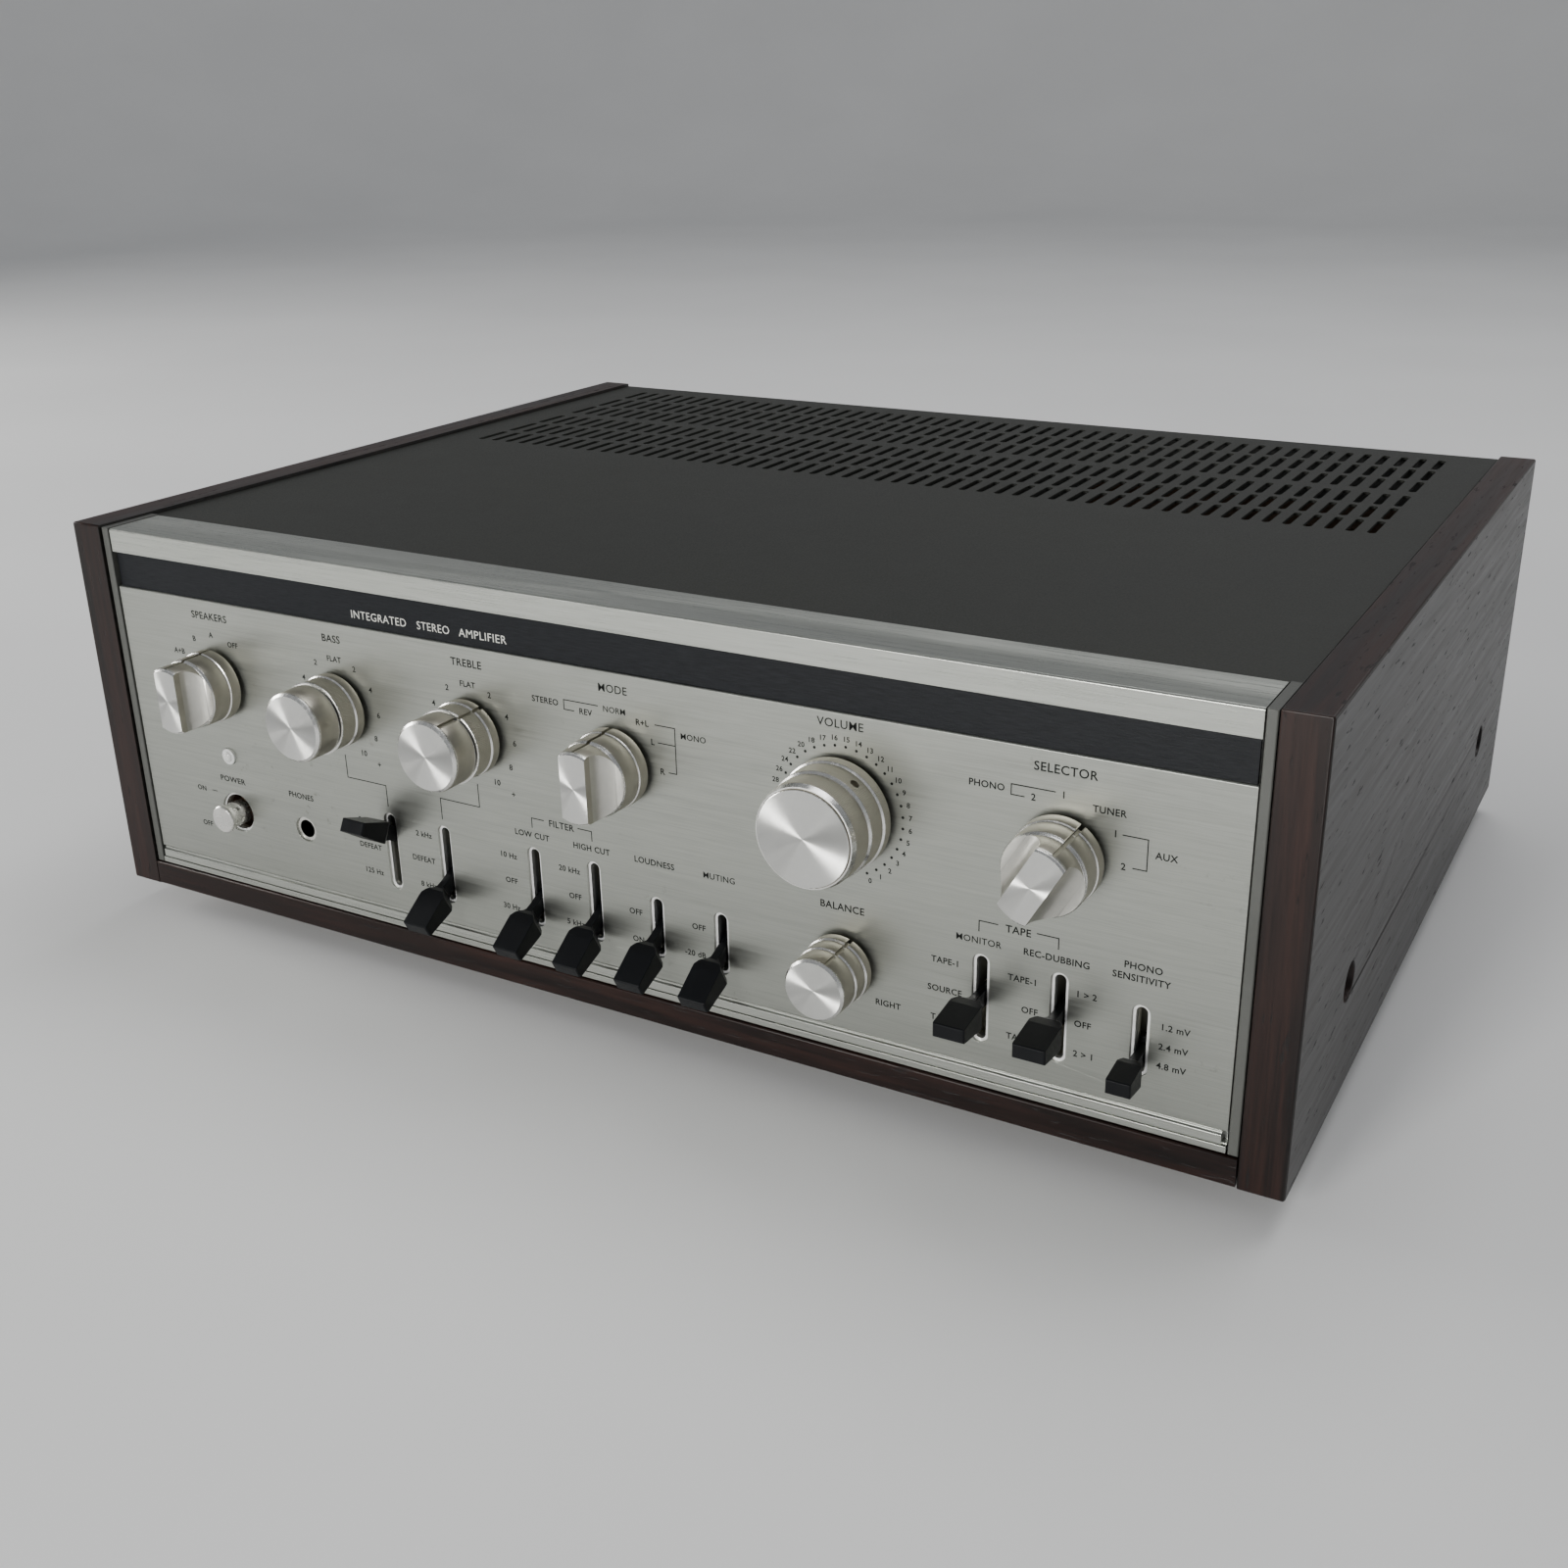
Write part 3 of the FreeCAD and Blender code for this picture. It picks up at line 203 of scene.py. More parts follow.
def champagne(name, colour, rough=0.39):
    """Anodised knob side, slightly warm, with fingerprint-soft variation."""
    s = Shader(name)
    s.set(Metallic=1.0, Anisotropic=0.2)
    cloud = s.noise(160, 4.0, 0.6)
    fine = s.noise(3000, 2.0, 0.5, (1, 0.05, 1))
    tint = s.ramp(cloud, [(0.3, scaled(colour, 0.86)), (0.7, scaled(colour, 1.06))])
    return s.done(tint, s.span(cloud, rough - 0.06, rough + 0.08), s.bump(fine, 0.2, 0.01))


def rosewood(name, along, gloss=0.36):
    """Dark rosewood-grain laminate; along is the grain axis."""
    s = Shader(name)
    s.set(Specular_IOR_Level=0.30)
    long_way = {"x": (0.05, 1, 1), "y": (1, 0.05, 1), "z": (1, 1, 0.05)}[along]
    short_way = {"x": (0.14, 1, 1), "y": (1, 0.14, 1), "z": (1, 1, 0.14)}[along]
    bands = s.noise(95, 5.0, 0.62, long_way, 0.6)
    streaks = s.noise(420, 4.0, 0.65, long_way, 0.3)
    pores = s.noise(620, 3.0, 0.55, short_way)
    base = s.ramp(bands, [(0.30, (0.0040, 0.0013, 0.0009)), (0.47, (0.0130, 0.0042, 0.0028)),
                          (0.60, (0.0240, 0.0082, 0.0052)), (0.76, (0.0065, 0.0022, 0.0015))])
    shade = s.ramp(streaks, [(0.34, (0.45, 0.45, 0.45)), (0.55, (1.0, 1.0, 1.0)),
                             (0.75, (1.35, 1.3, 1.25))])
    tint = s.blend(1.0, base, shade, "MULTIPLY")
    pits = s.span(pores, 1.0, 0.0, 0.31, 0.40)
    tint = s.blend(s.math("MULTIPLY", pits, 0.75), tint, (0.006, 0.004, 0.004))
    relief = s.math("SUBTRACT", s.math("MULTIPLY", streaks, 0.35), pits)
    roughness = s.math("ADD", s.span(streaks, gloss - 0.05, gloss + 0.08), s.math("MULTIPLY", pits, 0.25))
    return s.done(tint, roughness, s.bump(relief, 0.55, 0.12))


def painted(name, colour, rough, grain_mm, depth, specular):
    """Stoved paint with a fine pebbled texture."""
    s = Shader(name)
    s.set(Specular_IOR_Level=specular)
    grain = s.noise(1000.0 / grain_mm, 2.0, 0.5)
    cloud = s.noise(9, 4.0, 0.6)
    rub = s.noise(60, 5.0, 0.7)
    tint = s.ramp(cloud, [(0.3, scaled(colour, 0.86)), (0.7, scaled(colour, 1.14))])
    tint = s.blend(s.span(rub, 0.0, 0.18, 0.5, 0.72), tint, scaled(colour, 1.5))
    roughness = s.math("ADD", s.span(grain, rough - 0.05, rough + 0.05), s.span(cloud, -0.04, 0.05))
    return s.done(tint, roughness, s.bump(grain, depth, 0.06))


def band_black(name):
    """Black insert: fine horizontal drawn texture with a faint leather break-up."""
    s = Shader(name)
    s.set(Specular_IOR_Level=0.22)
    drawn = s.noise(2600, 3.0, 0.6, (0.06, 1, 1))
    skin = s.noise(900, 3.0, 0.6, (0.35, 1, 1), 0.8)
    tint = s.ramp(drawn, [(0.3, (0.0035, 0.0042, 0.0055)), (0.7, (0.0105, 0.012, 0.0150))])
    relief = s.math("ADD", s.math("MULTIPLY", drawn, 0.5), skin)
    return s.done(tint, s.span(skin, 0.36, 0.52), s.bump(relief, 0.75, 0.06))


def moulded(name, colour, rough=0.38, specular=0.5, grain=900.0):
    s = Shader(name)
    s.set(Specular_IOR_Level=specular)
    skin = s.noise(grain, 3.0, 0.55)
    wear = s.noise(130, 4.0, 0.65)
    tint = s.ramp(wear, [(0.35, scaled(colour, 0.85)), (0.62, colour), (0.8, scaled(colour, 1.6))])
    roughness = s.math("ADD", s.span(skin, rough - 0.05, rough + 0.05), s.span(wear, -0.03, 0.05))
    return s.done(tint, roughness, s.bump(skin, 0.18, 0.03))


def metal(name, colour, rough=0.3, anisotropy=0.0, grain=700.0):
    s = Shader(name)
    s.set(Metallic=1.0, Anisotropic=anisotropy)
    cloud = s.noise(grain, 4.0, 0.6)
    stain = s.noise(70, 4.0, 0.6)
    tint = s.ramp(stain, [(0.3, scaled(colour, 0.8)), (0.7, scaled(colour, 1.08))])
    return s.done(tint, s.span(cloud, rough - 0.06, rough + 0.08), s.bump(cloud, 0.15, 0.02))


def socket_metal(name, colour, x_mm, z_mm, bore_mm):
    """Plated socket whose bore is painted near-black as shade inside the hole; x_mm and z_mm place its
    centre on the panel.
    """
    s = Shader(name)
    s.set(Metallic=0.9)
    place = s.add("ShaderNodeSeparateXYZ")
    s.link(s.coords.outputs["Object"], place.inputs["Vector"])
    centre = at(x_mm, 0, z_mm)
    across = s.math("SUBTRACT", place.outputs["X"], centre.x)
    up = s.math("SUBTRACT", place.outputs["Z"], centre.z)
    radius = s.math("SQRT", s.math("ADD", s.math("MULTIPLY", across, across), s.math("MULTIPLY", up, up)))
    # Painted shade: the bore, everything within its radius, is painted near-black where the hole lies in
    # shade.
    rim = s.span(radius, 0.0, 1.0, bore_mm * MM, (bore_mm + 0.12) * MM)
    cloud = s.noise(900, 4.0, 0.6)
    plate = s.ramp(cloud, [(0.3, scaled(colour, 0.85)), (0.7, scaled(colour, 1.08))])
    tint = s.blend(rim, (0.006, 0.008, 0.006), plate)
    return s.done(tint, s.span(cloud, 0.20, 0.34), s.bump(cloud, 0.15, 0.02))


def ink(name, colour):
    s = Shader(name)
    s.set(Specular_IOR_Level=0.15)
    wear = s.noise(1800, 3.0, 0.6)
    tint = s.ramp(wear, [(0.3, scaled(colour, 0.8)), (0.7, scaled(colour, 1.25))])
    return s.done(tint, s.span(wear, 0.45, 0.62), s.bump(wear, 0.1, 0.005))


def lens_clear(name):
    s = Shader(name)
    s.set(IOR=1.49, Transmission_Weight=0.35)
    cloud = s.noise(900, 3.0, 0.5)
    tint = s.ramp(cloud, [(0.3, (0.90, 0.91, 0.88)), (0.7, (0.97, 0.98, 0.96))])
    return s.done(tint, s.span(cloud, 0.08, 0.2), s.bump(cloud, 0.1, 0.02))


PANEL_ALU = (0.435, 0.447, 0.410)
KNOB_SIDE = (0.50, 0.475, 0.41)
MATS = {
    "panel": brushed("panel_brushed", PANEL_ALU, 0.36, "x", 0.55, 0.30, 0.5),
    "trim": brushed("trim_brushed", (0.56, 0.575, 0.53), 0.30, "x", 0.6, 0.08),
    "spun": spun("knob_spun_face", (0.80, 0.80, 0.77)),
    "side": champagne("knob_champagne_side", KNOB_SIDE),
    "ring": metal("knob_cut_ring", (0.95, 0.94, 0.90), 0.24),
    "wood_x": rosewood("rosewood_rail", "x"),
    "cover": painted("cover_olive_grey", (0.0195, 0.0205, 0.0170), 0.50, 0.55, 0.30, 0.30),
    "strip": painted("strip_grey", (0.085, 0.087, 0.080), 0.42, 0.7, 0.2, 0.4),
    "rear": painted("rear_grey", (0.040, 0.041, 0.040), 0.5, 0.6, 0.25, 0.4),
    "band": band_black("band_black"),
    "black": moulded("lever_black", (0.0028, 0.0034, 0.0046), 0.38, 0.20),
    "void": moulded("inner_black", (0.004, 0.004, 0.004), 0.7),
    "rubber": moulded("rubber_feet", (0.012, 0.012, 0.012), 0.62, 0.4, 1400.0),
    "liner": metal("liner_satin", (0.96, 0.96, 0.93), 0.48),
    "zinc": metal("zinc_plate", (0.62, 0.61, 0.55), 0.34),
    "nickel": metal("nickel_plate", (0.72, 0.70, 0.64), 0.18),
    "steel": metal("chassis_steel", (0.55, 0.56, 0.54), 0.42, 0.0, 300.0),
    "turned": metal("shaft_turned", (0.66, 0.66, 0.64), 0.26),
    "phenolic": moulded("phenolic_brown", (0.055, 0.028, 0.013), 0.45),
    "board": moulded("board_tan", (0.21, 0.13, 0.05), 0.5),
    "core": painted("core_varnish", (0.022, 0.022, 0.024), 0.4, 0.9, 0.4, 0.5),
    "wrap": moulded("coil_wrap", (0.36, 0.25, 0.08), 0.5),
    "sleeve": moulded("capacitor_sleeve", (0.012, 0.022, 0.075), 0.25),
    "sink": painted("sink_black", (0.016, 0.016, 0.017), 0.45, 0.5, 0.25, 0.5),
    "ink": ink("panel_ink", (0.010, 0.011, 0.010)),
    "white_ink": ink("band_lettering", (0.66, 0.66, 0.62)),
    "red": moulded("jack_red", (0.34, 0.012, 0.010), 0.4),
    "white": moulded("jack_white", (0.60, 0.59, 0.54), 0.4),
    "lens": lens_clear("pilot_clear"),
    "socket": socket_metal("phones_plate", (0.80, 0.79, 0.74), PHONES_X, LEVER_Z, PHONES_BORE),
}


# ---------------------------------------------------------------- mesh helpers
def sharpen(mesh, degrees=30.0):
    """Smooth faces, with every edge above the angle kept crisp."""
    work = bmesh.new()
    work.from_mesh(mesh)
    limit = math.radians(degrees)
    for face in work.faces:
        face.smooth = True
    for edge in work.edges:
        edge.smooth = len(edge.link_faces) == 2 and edge.calc_face_angle(0.0) < limit
    work.to_mesh(mesh)
    work.free()


def piece(name, verts, faces, mats, body, pick=None, origin=(0, 0, 0), degrees=30.0):
    """A named mesh riding on a body. Points are metres about origin; pick chooses each face's material."""
    mesh = bpy.data.meshes.new(name)
    mesh.from_pydata(verts, [], faces)
    for mat in mats:
        mesh.materials.append(MATS[mat])
    mesh.validate()
    sharpen(mesh, degrees)
    if pick:
        for polygon in mesh.polygons:
            polygon.material_index = pick(polygon)
    obj = bpy.data.objects.new(name, mesh)
    obj.location = origin
    bpy.context.scene.collection.objects.link(obj)
    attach(obj, body)
    return obj


def ring_angles(teeth, notch=None, half_width=0.0):
    """Angles round a knob, each with its knurl flag and whether it lies in the pointer notch."""
    steps = 2 * teeth
    plain = [(2 * math.pi * i / steps, i % 2, False) for i in range(steps)]
    if notch is None:
        return plain
    kept = [(a, k, False) for a, k, _ in plain if abs(a - math.pi) < math.pi - half_width - 0.002]
    kept = [(a + notch, k, n) for a, k, n in kept]
    edge = [(notch - half_width, 0, False), (notch - half_width + 1e-4, 0, True), (notch, 0, True),
            (notch + half_width - 1e-4, 0, True), (notch + half_width, 0, False)]
    return kept + edge


def turned(rows, teeth, notch=None, notch_width=1.3, floor=0.0):
    """Verts and faces of a knurled turning about Y. Rows are (y, radius, knurl depth, notched), in mm."""
    outer = max(row[1] for row in rows)
    angles = ring_angles(teeth, notch, notch_width / 2 / outer if notch is not None else 0.0)
    verts, faces = [], []
    for y, radius, depth, notched in rows:
        for angle, tooth, inside in angles:
            r = radius - depth * tooth
            if inside and notched:
                r = min(r, floor)
            verts.append((r * math.cos(angle) * MM, y * MM, r * math.sin(angle) * MM))
    count = len(angles)
    for i in range(len(rows) - 1):
        for j in range(count):
            k = (j + 1) % count
            a, b = i * count, (i + 1) * count
            faces.append((a + j, a + k, b + k, b + j))
    faces.append(tuple(reversed(range(count))))
    faces.append(tuple(range((len(rows) - 1) * count, len(rows) * count)))
    return verts, faces


def knurled(y0, y1, radius, depth, notched=True, ease=0.12):
    """Rows of one knurled section going from the back (y0) to the front (y1)."""
    return [(y0, radius - depth, 0.0, notched), (y0 - ease, radius, depth, notched),
            (y1 + ease, radius, depth, notched), (y1, radius - depth, 0.0, notched)]


def plain(y, radius, notched=True):
    return (y, radius, 0.0, notched)


def knob_pick(front_y, rings):
    """Spun face at the front, bright cut rings, champagne sides."""
    def pick(polygon):
        y, normal = polygon.center.y / MM, polygon.normal
        if normal.y < -0.95 and y < front_y + 0.05:
            return 0
        if any(lo - 0.01 <= y <= hi + 0.01 for lo, hi in rings):
            return 2
        return 1
    return pick


def knob(name, x, z, rows, teeth, degrees, rings, body, node, floor, width=1.3):
    verts, faces = turned(rows, teeth, math.radians(degrees), width, floor)
    obj = piece(name, verts, faces, ["spun", "side", "ring"], body,
                knob_pick(rows[-1][0], rings), at(x, 0, z), CREASE)
    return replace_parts(obj, node)


def applied(obj):
    """Bakes an object's modifiers into its mesh."""
    graph = bpy.context.evaluated_depsgraph_get()
    mesh = bpy.data.meshes.new_from_object(obj.evaluated_get(graph))
    obj.modifiers.clear()
    obj.data = mesh
    return obj


def loose_mesh(name, verts, faces):
    mesh = bpy.data.meshes.new(name)
    mesh.from_pydata(verts, [], faces)
    mesh.validate()
    obj = bpy.data.objects.new(name, mesh)
    bpy.context.scene.collection.objects.link(obj)
    return obj


WING_BAR_HALF, WING_RIM = 4.75, 12.2      # half width of the grip bar, radius of the scooped disc
WING_SCOOP, WING_DISC_Y = 7.4, -12.4      # depth of the scoop, and where its floor meets the rim
WING_REACH = 16.0                         # the cutter reaches past the knob on every side


def wing_knob(name, x, degrees, body, node):
    """Skirted knob whose front is a grip bar left between two scooped flanks."""
    turn = math.radians(degrees)
    rows = knurled(-0.5, -4.55, 12.9, 0.10) + [plain(-4.75, 12.5)]
    rows += knurled(-4.95, -12.0, 12.5, 0.10) + [plain(-12.35, 12.15), plain(-12.75, 12.0)]
    rows += knurled(-12.9, -20.2, 11.9, 0.09) + [plain(-20.35, 11.75, False), plain(-20.75, 11.7, False),
                                                 plain(-20.9, 11.45, False), plain(-21.5, 11.05, False)]
    verts, faces = turned(rows, KNOB_TEETH, turn, 1.3, 11.0)
    body_mesh = loose_mesh(name, verts, faces)
    half, rim, depth, disc_y = WING_BAR_HALF, WING_RIM, WING_SCOOP, WING_DISC_Y
    flank = [(half + (rim - half) * (1 - math.sin(a)), disc_y - depth * (1 - math.cos(a)))
             for a in (math.pi / 2 * i / 14 for i in range(15))]
    outline = [(WING_REACH, 1.0), (WING_REACH, disc_y)] + flank + [(half, -23.0)]
    outline = outline + [(-w, y) for w, y in reversed(outline)]
    across, along = (math.sin(turn), -math.cos(turn)), (math.cos(turn), math.sin(turn))
    verts = []
    for reach in (-WING_REACH, WING_REACH):
        for w, y in outline:
            verts.append(((w * across[0] + reach * along[0]) * MM, y * MM,
                          (w * across[1] + reach * along[1]) * MM))
    count = len(outline)
    faces = [tuple(range(count)), tuple(reversed(range(count, 2 * count)))]
    faces += [(j, j + count, (j + 1) % count + count, (j + 1) % count) for j in range(count)]
    cutter = loose_mesh(name + "_cutter", verts, faces)
    clean = bmesh.new()
    clean.from_mesh(cutter.data)
    bmesh.ops.recalc_face_normals(clean, faces=clean.faces)
    clean.to_mesh(cutter.data)
    clean.free()
    cutting = body_mesh.modifiers.new("scoop", "BOOLEAN")
    cutting.operation, cutting.object, cutting.solver = "INTERSECT", cutter, "EXACT"
    bpy.context.view_layer.update()
    applied(body_mesh)
    bpy.data.objects.remove(cutter)
    mesh = body_mesh.data
    mesh.materials.clear()
    for mat in ("spun", "side", "ring", "satin"):
        mesh.materials.append(MATS[mat])
    sharpen(mesh, CREASE)
    for polygon in mesh.polygons:
        y, normal = polygon.center.y / MM, polygon.normal
        radius = math.hypot(polygon.center.x, polygon.center.z) / MM
        sideways = abs(normal.x * across[0] + normal.z * across[1])
        outward = abs(normal.x * polygon.center.x + normal.z * polygon.center.z) / max(radius * MM, 1e-6)
        if normal.y < -0.95 and y < -21.4:
            polygon.material_index = 0
        elif -12.9 < y < -11.9 and outward > 0.3 and radius > 11.8 or y < -20.3 and outward > 0.2 \
                and abs(sideways - 1) > 0.01:
            polygon.material_index = 2
        elif y < -12.3 and (normal.y < -0.02 or sideways > 0.99) and radius < 12.25 and outward < 0.995:
            polygon.material_index = 3
        elif -4.9 < y < -4.5:
            polygon.material_index = 2
        else:
            polygon.material_index = 1
    body_mesh.location = at(x, 0, KNOB_Z)
    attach(body_mesh, body)
    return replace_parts(body_mesh, node)


# ---------------------------------------------------------------- knobs
def tone_knobs(name, x, front_turn, rear_turn):
    """The small knob in front and the skirted one behind it, on one shaft."""
    rows = [plain(-11.5, 11.6)] + [plain(-11.55, 12.1)] + knurled(-11.7, -20.0, 12.2, 0.10)
    rows += [plain(-20.15, 12.0, False), plain(-20.65, 11.95, False), plain(-21.5, 11.1, False)]
    knob(name + "_front_detail", x, KNOB_Z, rows, KNOB_TEETH, front_turn, [(-21.5, -20.1), (-11.72, -11.5)],
         name + " front control", name + "_front_knob", 11.3)
    rows = knurled(-0.5, -3.6, 12.9, 0.10) + [plain(-3.75, 12.88), plain(-4.15, 12.45)]
    rows += knurled(-4.2, -10.2, 12.5, 0.10) + [plain(-10.35, 12.55), plain(-10.55, 12.88),
                                                plain(-10.85, 12.8), plain(-11.0, 12.4)]
    knob(name + "_rear_detail", x, KNOB_Z, rows, 136, rear_turn, [(-4.18, -3.6), (-11.0, -10.3)],
         name + " rear control", name + "_rear_knob", 11.8)


def volume_knob():
    """Three knurled steps, a grooved spun face, and a drilled dimple as its pointer."""
    rows = [plain(-0.5, 17.0, False)] + knurled(-0.6, -4.0, 17.3, 0.11, False)
    rows += [plain(-4.12, 17.28, False), plain(-4.5, 16.85, False)] + knurled(-4.6, -11.1, 16.8, 0.11, False)
    rows += [plain(-11.2, 16.78, False), plain(-11.55, 16.6, False), plain(-11.95, 16.12, False)]
    rows += knurled(-12.1, -19.1, 16.15, 0.11, False)
    rows += [plain(-19.25, 16.05, False), plain(-20.85, 15.45, False), plain(-20.9, 15.05, False)]
    rows += [plain(-20.6, 15.0, False), plain(-20.6, 14.85, False), plain(-21.35, 14.8, False)]
    rows += [plain(-21.5, 14.65, False)]
    verts, faces = turned(rows, 190)
    mesh_obj = loose_mesh("volume_detail", verts, faces)
    turn, out, dimple_y, dimple_r, dimple_len = math.radians(55.0), 17.4, -7.9, 1.4, 4.4
    hole = bmesh.new()
    lean = Matrix.Rotation(math.pi / 2 - turn, 4, "Y")
    centre = Vector((out * math.cos(turn), dimple_y, out * math.sin(turn))) * MM
    bmesh.ops.create_cone(hole, cap_ends=True, segments=36, radius1=dimple_r * MM, radius2=dimple_r * MM,
                          depth=dimple_len * MM, matrix=Matrix.Translation(centre) @ lean)
    mesh = bpy.data.meshes.new("dimple")
    hole.to_mesh(mesh)
    hole.free()
    cutter = bpy.data.objects.new("dimple", mesh)
    bpy.context.scene.collection.objects.link(cutter)
    cutting = mesh_obj.modifiers.new("dimple", "BOOLEAN")
    cutting.operation, cutting.object, cutting.solver = "DIFFERENCE", cutter, "EXACT"
    bpy.context.view_layer.update()
    applied(mesh_obj)
    bpy.data.objects.remove(cutter)
    mesh = mesh_obj.data
    mesh.materials.clear()
    for mat in ("spun", "side", "ring", "void"):
        mesh.materials.append(MATS[mat])
    sharpen(mesh, CREASE)
    bright = [(-4.55, -4.05), (-12.0, -11.15), (-20.9, -19.2), (-21.5, -21.3)]
    for polygon in mesh.polygons:
        y, radius = polygon.center.y / MM, math.hypot(polygon.center.x, polygon.center.z) / MM
        if polygon.normal.y < -0.95 and radius < 14.0:
            index = 0
        elif 14.9 < radius < 15.06 or -21.0 < y < -20.5 and radius < 14.95:
            index = 1
        elif any(lo <= y <= hi for lo, hi in bright):
            index = 2
        else:
            index = 1
        polygon.material_index = index
    mesh_obj.location = at(VOLUME_X, 0, KNOB_Z)
    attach(mesh_obj, "volume control")
    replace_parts(mesh_obj, "volume_knob")


def balance_knob():
    """Three knurled steps and a pointer notch."""
    rows = knurled(-0.5, -3.3, 10.8, 0.09) + [plain(-3.42, 10.78), plain(-3.8, 10.4)]
    rows += knurled(-3.9, -9.0, 10.4, 0.09) + [plain(-9.1, 10.4), plain(-9.5, 10.05)]
    rows += knurled(-9.6, -15.9, 10.05, 0.09) + [plain(-16.05, 9.95, False), plain(-16.4, 9.85, False),
                                                 plain(-17.2, 9.15, False)]
    rings = [(-3.85, -3.35), (-9.55, -9.05), (-17.2, -16.0)]
    knob("balance_detail", BALANCE_X, LEVER_Z, rows, 112, 68.0, rings,
         "balance control", "balance_knob", 9.3)


MATS["satin"] = metal("knob_satin_flank", (0.66, 0.65, 0.60), 0.34, 0.0, 500.0)
MATS["tip"] = metal("power_lever_metal", (0.86, 0.85, 0.81), 0.28, 0.0, 500.0)
wing_knob("speakers_detail", SPEAKERS_X, 90.0, "speakers control", "speakers_knob")
wing_knob("mode_detail", MODE_X, 90.0, "mode control", "mode_knob")
wing_knob("selector_detail", SELECTOR_X, 60.0, "selector control", "selector_knob")
tone_knobs("bass", BASS_X, 210.0, 210.0)
tone_knobs("treble", TREBLE_X, 63.0, 60.0)
volume_knob()
balance_knob()


# ---------------------------------------------------------------- coloured bushes on the rear sockets
JACK_PITCH, JACK_COUNT, JACK_FIRST_X = 17.0, 9, 190.0
JACK_ROWS_Z = {"white": 104.0, "red": 87.0}
BUSH_BACK, BUSH_FRONT = REAR_Y + 0.15, REAR_Y + 1.55
BUSH_INNER, BUSH_OUTER, BUSH_EASE = 4.3, 5.4, 0.3


def jack_bushes(colour, z):
    """One moulded ring round each socket barrel of a row."""
    profile = [(BUSH_BACK, BUSH_INNER), (BUSH_BACK, BUSH_OUTER), (BUSH_FRONT - BUSH_EASE, BUSH_OUTER),
               (BUSH_FRONT, BUSH_OUTER - BUSH_EASE), (BUSH_FRONT, BUSH_INNER)]
    steps = 40
    verts, faces = [], []
    for column in range(JACK_COUNT):
        x, start = JACK_FIRST_X - JACK_PITCH * column, len(verts)
        for step in range(steps):
            angle = 2 * math.pi * step / steps
            verts += [at(x + r * math.cos(angle), y, z + r * math.sin(angle)) for y, r in profile]
        for step in range(steps):
            here, there = start + step * len(profile), start + (step + 1) % steps * len(profile)
            for i in range(len(profile)):
                j = (i + 1) % len(profile)
                faces.append((here + i, here + j, there + j, there + i))
    piece("jack_bushes_" + colour, verts, faces, [colour], "chassis")


for bush_colour, row_z in JACK_ROWS_Z.items():
    jack_bushes(bush_colour, row_z)


# ---------------------------------------------------------------- printing on the panel
M_BOLD = 0.45     # share of the thickening that words with an M take
WELD = 0.0005     # mm within which ink points are one
CAP_SHARE = 0.70  # cap height as a share of the font size
LETTER_SPACE = 1.06


class Print:
    """Collects raised ink shapes on one upright plane and makes one piece of them."""

    def __init__(self, y, thick=0.03):
        self.y, self.thick = y, thick
        self.work = bmesh.new()

    def _take(self, mesh, matrix):
        mesh.transform(matrix)
        self.work.from_mesh(mesh)
        bpy.data.meshes.remove(mesh)

    def text(self, words, x, z, height, width=None, bold=0.05):
        """Sans lettering with the given cap height, centred on z; the letter M closes up if thickened."""
        curve = bpy.data.curves.new("letters", "FONT")
        curve.body, curve.align_x, curve.size = words, "CENTER", height / CAP_SHARE
        curve.extrude, curve.resolution_u = self.thick / 2, 3
        curve.offset = bold * M_BOLD if "M" in words else bold
        curve.space_character = LETTER_SPACE
        letters = bpy.data.objects.new("letters", curve)
        bpy.context.scene.collection.objects.link(letters)
        bpy.context.view_layer.update()
        mesh = bpy.data.meshes.new_from_object(letters.evaluated_get(bpy.context.evaluated_depsgraph_get()))
        bpy.data.objects.remove(letters)
        bpy.data.curves.remove(curve)
        xs = [v.co.x for v in mesh.vertices]
        squeeze = width / (max(xs) - min(xs)) if width else 1.0
        shift = Matrix.Translation((x, self.y - self.thick / 2, z - height / 2))
        self._take(mesh, shift @ Matrix.Rotation(math.pi / 2, 4, "X") @ Matrix.Diagonal((squeeze, 1, 1, 1)))

    def line(self, points, width=0.32):
        """A ruled line through the points, with square joins."""
        half = width / 2
        for (x0, z0), (x1, z1) in zip(points, points[1:]):
            length = math.hypot(x1 - x0, z1 - z0)
            ux, uz = (x1 - x0) / length * half, (z1 - z0) / length * half
            corners = [(x0 - ux - uz, z0 - uz + ux), (x0 - ux + uz, z0 - uz - ux),
                       (x1 + ux + uz, z1 + uz - ux), (x1 + ux - uz, z1 + uz + ux)]
            self._plate(corners)

    def _plate(self, corners):
        back = [self.work.verts.new((x, self.y, z)) for x, z in corners]
        front = [self.work.verts.new((x, self.y - self.thick, z)) for x, z in corners]
        self.work.faces.new(front)
        self.work.faces.new(list(reversed(back)))
        for i in range(len(corners)):
            j = (i + 1) % len(corners)
            self.work.faces.new((front[i], back[i], back[j], front[j]))

    def dot(self, x, z, radius):
        self._plate([(x + radius * math.cos(a), z + radius * math.sin(a))
                     for a in (2 * math.pi * i / 14 for i in range(14))])

    def finish(self, name, mat):
        mesh = bpy.data.meshes.new(name)
        bmesh.ops.remove_doubles(self.work, verts=self.work.verts, dist=WELD)
        bmesh.ops.recalc_face_normals(self.work, faces=self.work.faces)
        self.work.to_mesh(mesh)
        self.work.free()
        mesh.transform(Matrix.Translation(at(0, 0, 0)) @ Matrix.Diagonal((MM, MM, MM, 1)))
        mesh.materials.append(MATS[mat])
        sharpen(mesh, 30)
        obj = bpy.data.objects.new(name, mesh)
        bpy.context.scene.collection.objects.link(obj)
        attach(obj, "chassis")


